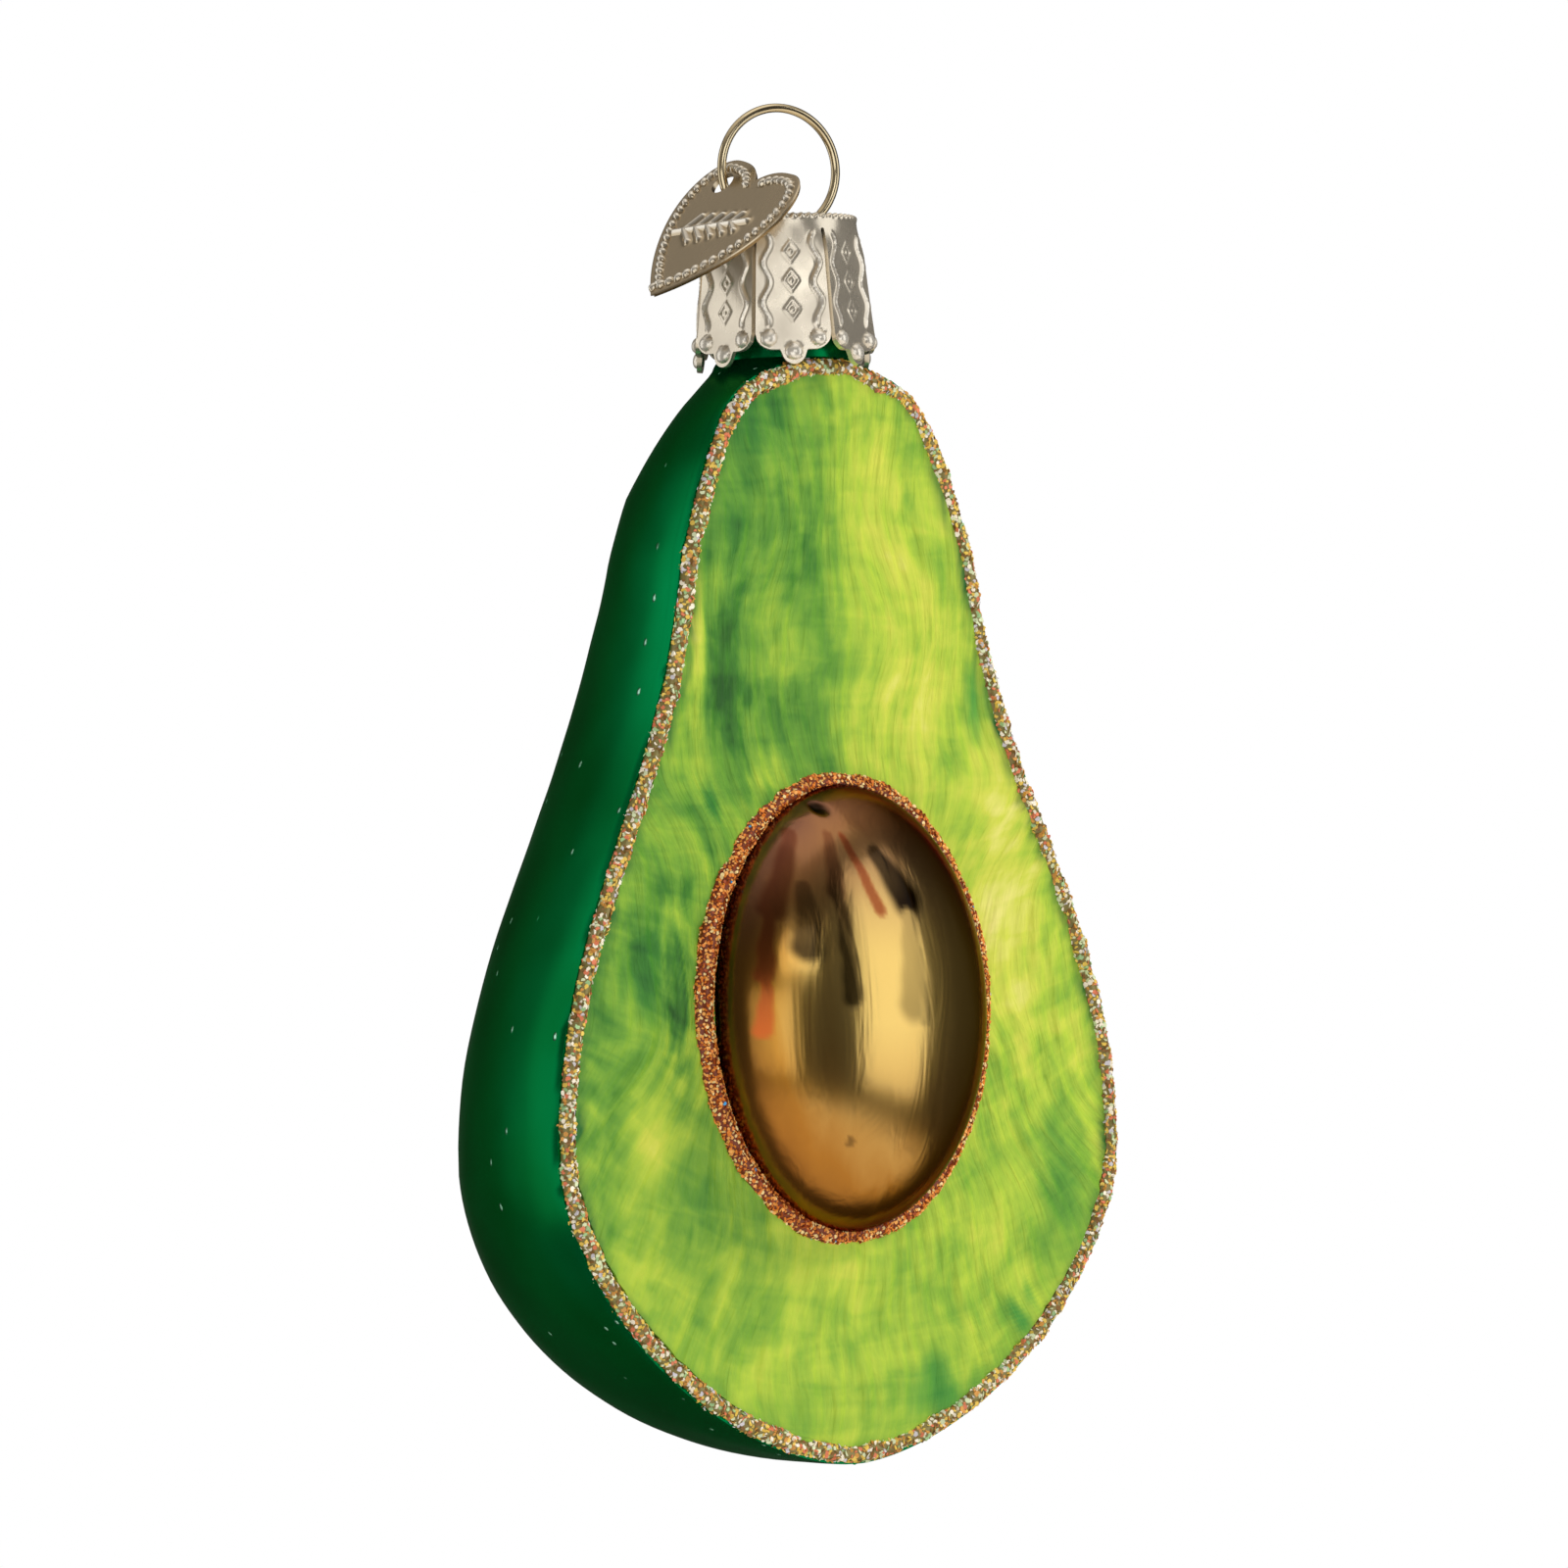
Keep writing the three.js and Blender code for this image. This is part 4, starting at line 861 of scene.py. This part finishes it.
hangerHigh = Vector(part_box("hanger_wire")[1]) / mm
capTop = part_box("cap")[1][2] / mm
crown = {
    "petals": 7, "heading": -10.5, "topRadius": 5.75, "edge": 0.5, "flare": 6.85, "waist": 0.4,
    "petalLength": 10.3, "tabRadius": 0.95, "tabDrop": 1.1, "corner": 1.25, "slit": 0.3, "slitStart": 1.1,
    "sheet": 0.38,
    # the petals are flatter than the round top, fully so at three times the slits' start
    "flatness": 0.85, "flatReach": 3, "flatSpread": 0.62,
    # shares of the grid's rows where the flat top ends and where the rounded edge ends
    "columns": 48, "rows": 112, "topShare": 0.16, "edgeShare": 0.3, "footFill": 0.95,
    "teethPerPetal": 8, "toothHeight": 0.2,
    "ribWidth": 0.15, "ribHeight": 0.2, "ribWave": 0.26, "ribPitch": 3.0, "ribInset": 0.72,
    "ribFrom": (1.2, 1.8), "ribTo": (8.2, 8.8),
    "cornerBead": 0.58, "cornerBeadIn": 0.95, "cornerBeadUp": 0.85,
    "tabBead": 0.66, "tabBeadDown": 0.15, "beadHeight": 0.42,
    "lozenges": (2.9, 5.1, 7.3), "lozengeSize": (0.75, 0.95), "lozengeHeight": 0.08,
    "lozengeLine": (0.8, 0.16), "lozengePip": 0.2,
    # the plating turns pale on raised relief as a painted highlight, partly rubbed plating
    "highlightRelief": (0.04, 0.16),  # relief heights between which the plating turns pale
}
hanger = {
    "wire": 0.68, "ringRadius": 4.7, "heading": -19, "footBend": 0.6, "holeClearance": 0.25,
    "pull": 5.0, "pullGap": 0.3, "bow": 5.0, "bowSpread": 3.64, "tipSpread": 2.5, "kneeOut": 0.3,
    "legLength": 19.5, "footSteps": 4, "ringSteps": 64,
}
hanger["ringZ"] = hangerHigh.z - hanger["ringRadius"] - hanger["wire"] / 2
footAngle = math.asin((hanger["ringZ"] - capTop - hanger["holeClearance"] / 2)
                      / (hanger["ringRadius"] + hanger["footBend"]))
legSpread = hanger["ringRadius"] * math.cos(footAngle) - hanger["footBend"] * (1 - math.cos(footAngle))
ringAcross = Vector((math.cos(math.radians(hanger["heading"])), math.sin(math.radians(hanger["heading"])), 0))


def petalEnd(x, half):
    # depth of the scalloped lower edge below the cap's top, x across the petal
    x = abs(x)
    if x < crown["tabRadius"]:
        return crown["petalLength"] + crown["tabDrop"] * math.sqrt(1 - (x / crown["tabRadius"]) ** 2)
    over = min(1, max(0, (x - half + crown["corner"]) / crown["corner"]))
    return crown["petalLength"] - crown["corner"] * (1 - math.sqrt(1 - over * over))


def raisedBead(x, y, radius, height):
    share = (x * x + y * y) / (radius * radius)
    return height * math.sqrt(1 - share) if share < 1 else 0


def petalRelief(x, depth, half):
    # beads at the corners and on the tab, a wavy rib down each side, and a row of lozenges
    aboveFoot = depth - crown["petalLength"]
    side = abs(x) - (half - crown["ribInset"])
    wave = crown["ribWave"] * math.sin(2 * math.pi * depth / crown["ribPitch"])
    ends = smooth(*crown["ribFrom"], depth) * (1 - smooth(*crown["ribTo"], depth))
    height = ends * crown["ribHeight"] * math.exp(-((side - wave) / crown["ribWidth"]) ** 2)
    height += raisedBead(abs(x) - (half - crown["cornerBeadIn"]), aboveFoot + crown["cornerBeadUp"],
                         crown["cornerBead"], crown["beadHeight"])
    height += raisedBead(x, aboveFoot - crown["tabBeadDown"], crown["tabBead"], crown["beadHeight"])
    lineAt, lineWidth = crown["lozengeLine"]
    for middle in crown["lozenges"]:
        reach = abs(x) / crown["lozengeSize"][0] + abs(depth - middle) / crown["lozengeSize"][1]
        height += crown["lozengeHeight"] * math.exp(-((reach - lineAt) / lineWidth) ** 2)
        height += raisedBead(x, depth - middle, crown["lozengePip"], crown["lozengeHeight"])
    return height


def crownPlace(u, v):
    # across one petal and from the middle of the top, over the knurled edge, down to the scalloped foot
    turn = 2 * u - 1
    wedge = math.pi / crown["petals"]
    flatEnd, edgeEnd = crown["topShare"], crown["edgeShare"]
    inner = crown["topRadius"] - crown["edge"]
    relief = height = 0
    if v < flatEnd:
        radius, depth = inner * v / flatEnd, 0
    elif v < edgeEnd:
        bend = (v - flatEnd) / (edgeEnd - flatEnd) * math.pi / 2
        tooth = crown["toothHeight"] * (0.5 - 0.5 * math.cos(2 * math.pi * crown["teethPerPetal"] * u))
        out = crown["edge"] + tooth * math.sin(2 * bend) ** 2
        radius, depth = inner + out * math.sin(bend), crown["edge"] - out * math.cos(bend)
    else:
        half = wedge * crown["flare"] * crown["footFill"] - crown["slit"] / 2
        end = petalEnd(turn * half, half)
        depth = crown["edge"] + (v - edgeEnd) / (1 - edgeEnd) * (end - crown["edge"])
        full = crown["petalLength"] + crown["tabDrop"]
        t = (depth - crown["edge"]) / (full - crown["edge"])
        radius = ((1 - t) ** 2 * crown["topRadius"] + 2 * t * (1 - t) * (crown["topRadius"] + crown["waist"])
                  + t * t * crown["flare"])
        petalHalf = wedge * radius - crown["slit"] / 2
        relief = petalRelief(turn * petalHalf, depth, petalHalf)
        flatter = math.cos(crown["flatSpread"] * wedge) / math.cos(turn * wedge) - 1
        flatShare = smooth(crown["edge"], crown["flatReach"] * crown["slitStart"], depth)
        height = relief + radius * crown["flatness"] * flatter * flatShare
        if depth > crown["slitStart"]:
            wedge -= crown["slit"] / 2 / radius
    radius += height
    angle = turn * wedge
    spot = Vector((radius * math.cos(angle), radius * math.sin(angle), capTop - depth))
    return spot, smooth(*crown["highlightRelief"], relief)


def makeCrown():
    first = mappedGrid("crownCap", crown["columns"], crown["rows"], crownPlace)
    petals = [first]
    for i in range(1, crown["petals"]):
        copy = first.copy()
        copy.data = first.data.copy()
        bpy.context.collection.objects.link(copy)
        petals.append(copy)
    bpy.ops.object.select_all(action="DESELECT")
    for i, petal in enumerate(petals):
        petal.rotation_euler.z = math.radians(crown["heading"] - 90 + (i + 0.5) * 360 / crown["petals"])
        petal.select_set(True)
    bpy.context.view_layer.objects.active = first
    bpy.ops.object.join()
    editSelected(first)
    bpy.ops.mesh.remove_doubles(threshold=0.01)
    bpy.ops.object.mode_set(mode="OBJECT")
    applyModifier(first, "SOLIDIFY", thickness=crown["sheet"], offset=-1)
    for side in (-1, 1):
        hole = addPiece("hole", bpy.ops.mesh.primitive_cylinder_add, vertices=40, depth=2,
                        radius=hanger["wire"] / 2 + hanger["holeClearance"],
                        location=ringAcross * side * legSpread + Vector((0, 0, capTop)))
        cutWith(first, hole, "DIFFERENCE")
    return first


def stampedNickel(name, colour, roughness, metallic=1.0, scratches=0.12):
    # nickel plating on stamped sheet or drawn wire: a warm grey mirror with fine scratches, paler where a
    # stamped relief stands up:
    # partly rubbed plating, partly a painted highlight on the raised parts
    material, tree, bsdf = newMaterial(name)
    wearAndPaintedLight = addNode(tree, "ShaderNodeAttribute", {"attribute_name": "raised"})
    tint = addNode(tree, "ShaderNodeMix", {"data_type": "RGBA", 6: hexColor(colour), 7: hexColor("#F2EBDD")},
                   {0: wearAndPaintedLight.outputs["Fac"]})
    tree.links.new(tint.outputs[2], bsdf.inputs["Base Color"])
    plating = addNode(tree, "ShaderNodeMapRange", {"To Min": metallic, "To Max": metallic - 0.15},
                      {0: wearAndPaintedLight.outputs["Fac"]})
    tree.links.new(plating.outputs[0], bsdf.inputs["Metallic"])
    place = addNode(tree, "ShaderNodeTexCoord").outputs["Object"]
    cloudy = addNode(tree, "ShaderNodeTexNoise", {"Scale": perMetre(3.33333), "Detail": 4}, {"Vector": place})
    rough = addNode(tree, "ShaderNodeMapRange", {
        "From Min": 0.3, "From Max": 0.7, "To Min": roughness - 0.06, "To Max": roughness + 0.08},
        {0: cloudy.outputs["Fac"]})
    tree.links.new(rough.outputs[0], bsdf.inputs["Roughness"])
    thread = (perMetre(0.333333), perMetre(0.333333), perMetre(2))
    drawn = addNode(tree, "ShaderNodeMapping", {"Scale": thread}, {"Vector": place})
    lines = addNode(tree, "ShaderNodeTexNoise", {"Scale": 1.0, "Detail": 3}, {"Vector": drawn.outputs[0]})
    bump = addNode(tree, "ShaderNodeBump", {"Strength": scratches, "Distance": 0.05 * mm},
                   {"Height": lines.outputs["Fac"]})
    tree.links.new(bump.outputs["Normal"], bsdf.inputs["Normal"])
    return material


print("crown cap")
nickel = stampedNickel("stampedNickel", "#E7DDCA", 0.26, metallic=0.85)
finishPiece(makeCrown(), "cap", "cap", nickel)


# Hanger: one spring wire, up through the cap, round the ring and down again

def inRingPlane(out, z):
    return ringAcross * out + Vector((0, 0, z))


def legPoints(side):
    # from the tip in the neck, over the bow that presses on the glass, up to the hole in the cap
    straightEnd = capTop - crown["sheet"] - hanger["pull"] - hanger["pullGap"]
    bowEnd = straightEnd - hanger["bow"]
    tip = capTop - hanger["legLength"]
    knots = [(hanger["tipSpread"], tip), (hanger["tipSpread"], (tip + bowEnd) / 2),
             (hanger["tipSpread"] + hanger["kneeOut"], bowEnd),
             (hanger["bowSpread"], straightEnd - hanger["bow"] / 2),
             (legSpread, straightEnd), (legSpread, straightEnd + 1)]
    return [inRingPlane(side * out, z) for out, z in knots]


def footPoints(side):
    # the bend that leads from the hole into the ring
    footZ = hanger["ringZ"] - (hanger["ringRadius"] + hanger["footBend"]) * math.sin(footAngle)
    points = []
    for i in range(hanger["footSteps"] + 1):
        bend = footAngle * i / hanger["footSteps"]
        out = legSpread + hanger["footBend"] * (1 - math.cos(bend))
        points.append(inRingPlane(side * out, footZ + hanger["footBend"] * math.sin(bend)))
    return points


def onRing(angle):
    return inRingPlane(hanger["ringRadius"] * math.cos(angle),
                       hanger["ringZ"] + hanger["ringRadius"] * math.sin(angle))


def makeHanger():
    start, sweep = math.pi + footAngle, -(math.pi + 2 * footAngle)
    points = legPoints(-1) + footPoints(-1)
    points += [onRing(start + sweep * i / hanger["ringSteps"]) for i in range(1, hanger["ringSteps"])]
    points += reversed(legPoints(1) + footPoints(1))
    curve = bpy.data.curves.new("hangerWire", "CURVE")
    curve.dimensions = "3D"
    spline = curve.splines.new("BEZIER")
    spline.bezier_points.add(len(points) - 1)
    for knot, co in zip(spline.bezier_points, points):
        knot.co = co
        knot.handle_left_type = knot.handle_right_type = "AUTO"
    spline.resolution_u = 4
    curve.bevel_depth, curve.bevel_resolution, curve.use_fill_caps = hanger["wire"] / 2, 6, True
    return curvePiece("hangerWire", curve)


print("hanger")
wireMaterial = stampedNickel("drawnSpringWire", "#E0CFAA", 0.13, scratches=0.01)
finishPiece(makeHanger(), "hanger_wire", "hanger", wireMaterial)


# Heart tag: stamped like the cap, with a beaded border and a sprig

heart = {
    "halfWidth": 6.8, "lobeRise": 1.4, "lobeSpread": 3.8, "widestDrop": 3.2, "length": 12.1,
    "hole": (-3.55, -1.0), "holeRadius": 1.0, "sheet": 0.38,
    "edgeDrop": 0.1, "edgeFrom": 0.97,
    "ringAngle": 194.5, "lean": 41.5, "spin": 17.7,
    "columns": 384, "rows": 84, "rowCrowding": 1.25, "curveSteps": 60, "middle": (0, -5.0),
    "beadPitch": 0.84, "beadInset": 0.85, "beadSize": (0.3, 0.44), "beadHeight": 0.32, "beadSlant": 50,
    "beadReach": 0.5,
    "sprigFrom": (-3.9, -6.3), "sprigTo": (3.6, -3.6), "strokeWidth": 0.28, "strokeHeight": 0.32,
    "leafPairs": 5, "leafLength": 1.55, "leafAngle": 48, "firstLeaf": 0.14, "leafSpan": 0.8,
    "firstLeafSize": 1.15, "leafTaper": 0.1,
    # relief heights between which the plating turns pale: a painted highlight on raised parts, partly rubbed
    # plating
    "highlightRelief": (0.08, 0.26),
}


def heartOutline():
    # evenly spaced points, counter-clockwise from the notch round the left lobe.
    # The curves' handles are shares of the sizes
    wide, lobe, rise = heart["halfWidth"], heart["lobeSpread"], heart["lobeRise"]
    drop, tip = -heart["widestDrop"], -heart["length"]
    curves = [((0, 0), (0.3 * lobe, 0.9 * rise), (0.65 * lobe, rise), (lobe, rise)),
              ((lobe, rise), (0.87 * wide, rise), (1.05 * wide, 0.25 * drop), (wide, drop)),
              ((wide, drop), (0.93 * wide, 2 * drop), (0.5 * wide, 0.81 * tip), (0, tip))]
    right = []
    for four in curves:
        knots = [Vector((x, y, 0)) for x, y in four]
        right += interpolate_bezier(*knots, heart["curveSteps"])[1 if right else 0:]
    line = [Vector((-p.x, p.y)) for p in right] + [Vector((p.x, p.y)) for p in reversed(right[:-1])]
    lengths = [0.0]
    for a, b in zip(line, line[1:]):
        lengths.append(lengths[-1] + (b - a).length)
    spaced, at = [], 0
    for i in range(heart["columns"]):
        target = lengths[-1] * i / heart["columns"]
        while lengths[at + 1] < target:
            at += 1
        share = (target - lengths[at]) / (lengths[at + 1] - lengths[at])
        spaced.append(line[at].lerp(line[at + 1], share))
    return spaced, lengths[-1]


def heartBeads(line, length):
    # middle and long axis of each slanted bead of the border
    beads = []
    slant = math.radians(heart["beadSlant"])
    count = round(length / heart["beadPitch"])
    for i in range(count):
        at = i / count * len(line)
        here, ahead = line[int(at)], line[(int(at) + 1) % len(line)]
        along = (ahead - here).normalized()
        inward = Vector((-along.y, along.x))
        beads.append((here + inward * heart["beadInset"], along * math.cos(slant) + inward * math.sin(slant)))
    return beads


def sprigStrokes():
    # the stem, and pairs of leaves that get shorter along it
    start, end = Vector(heart["sprigFrom"]), Vector(heart["sprigTo"])
    stem = end - start
    strokes = [(start, end)]
    for i in range(heart["leafPairs"]):
        base = start + stem * (heart["firstLeaf"] + heart["leafSpan"] * i / heart["leafPairs"])
        size = heart["firstLeafSize"] - heart["leafTaper"] * i
        for side in (-1, 1):
            leaf = Matrix.Rotation(side * math.radians(heart["leafAngle"]), 2) @ stem.normalized()
            strokes.append((base, base + leaf * heart["leafLength"] * size))
    return strokes


def heartRelief(point, beads, strokes):
    height = 0
    for middle, axis in beads:
        away = point - middle
        if abs(away.x) < heart["beadReach"] and abs(away.y) < heart["beadReach"]:
            along, across = away.dot(axis), away.x * axis.y - away.y * axis.x
            share = (along / heart["beadSize"][1]) ** 2 + (across / heart["beadSize"][0]) ** 2
            height = max(height, heart["beadHeight"] * math.sqrt(max(0, 1 - share)))
    for start, end in strokes:
        line = end - start
        t = min(1, max(0, (point - start).dot(line) / line.length_squared))
        gap = (point - start - line * t).length
        height = max(height, heart["strokeHeight"] * math.exp(-(gap / heart["strokeWidth"]) ** 2))
    return height


def makeHeart():
    line, length = heartOutline()
    beads, strokes = heartBeads(line, length), sprigStrokes()
    middle, hole = Vector(heart["middle"]), Vector(heart["hole"])

    def place(u, v):
        rim = line[round(u * heart["columns"]) % heart["columns"]]
        point = middle.lerp(rim, 1 - (1 - v) ** heart["rowCrowding"])
        edge = -heart["edgeDrop"] * smooth(heart["edgeFrom"], 1, v)
        relief = heartRelief(point, beads, strokes)
        spot = Vector((*(point - hole), heart["sheet"] / 2 + relief + edge))
        return spot, smooth(*heart["highlightRelief"], relief)

    piece = mappedGrid("heartTag", heart["columns"], heart["rows"], place)
    turnFaces(piece, Vector((0, 0, 1)))
    applyModifier(piece, "SOLIDIFY", thickness=heart["sheet"], offset=-1)
    punch = addPiece("punch", bpy.ops.mesh.primitive_cylinder_add, vertices=48,
                     radius=heart["holeRadius"], depth=3)
    cutWith(piece, punch, "DIFFERENCE")
    # threaded on the ring by its hole, leaning and turned as it hangs
    lean, spin = math.radians(heart["lean"]), math.radians(heart["spin"])
    front = Vector((-math.cos(lean), 0, math.sin(lean)))
    slope = Vector((-math.sin(lean), 0, -math.cos(lean)))
    across = Vector((0, -1, 0)) * math.cos(spin) + slope * math.sin(spin)
    spot = onRing(math.radians(heart["ringAngle"]))
    piece.matrix_world = Matrix.Translation(spot) @ turnTo(across, front)
    return piece


print("heart tag")
# the tag's nickel is a darker copy of the cap's: painted shade for its dim flat face
shadedTagNickel = stampedNickel("shadedTagNickel", "#C8B89C", 0.22)
finishPiece(makeHeart(), "heart_charm", "charm", shadedTagNickel)
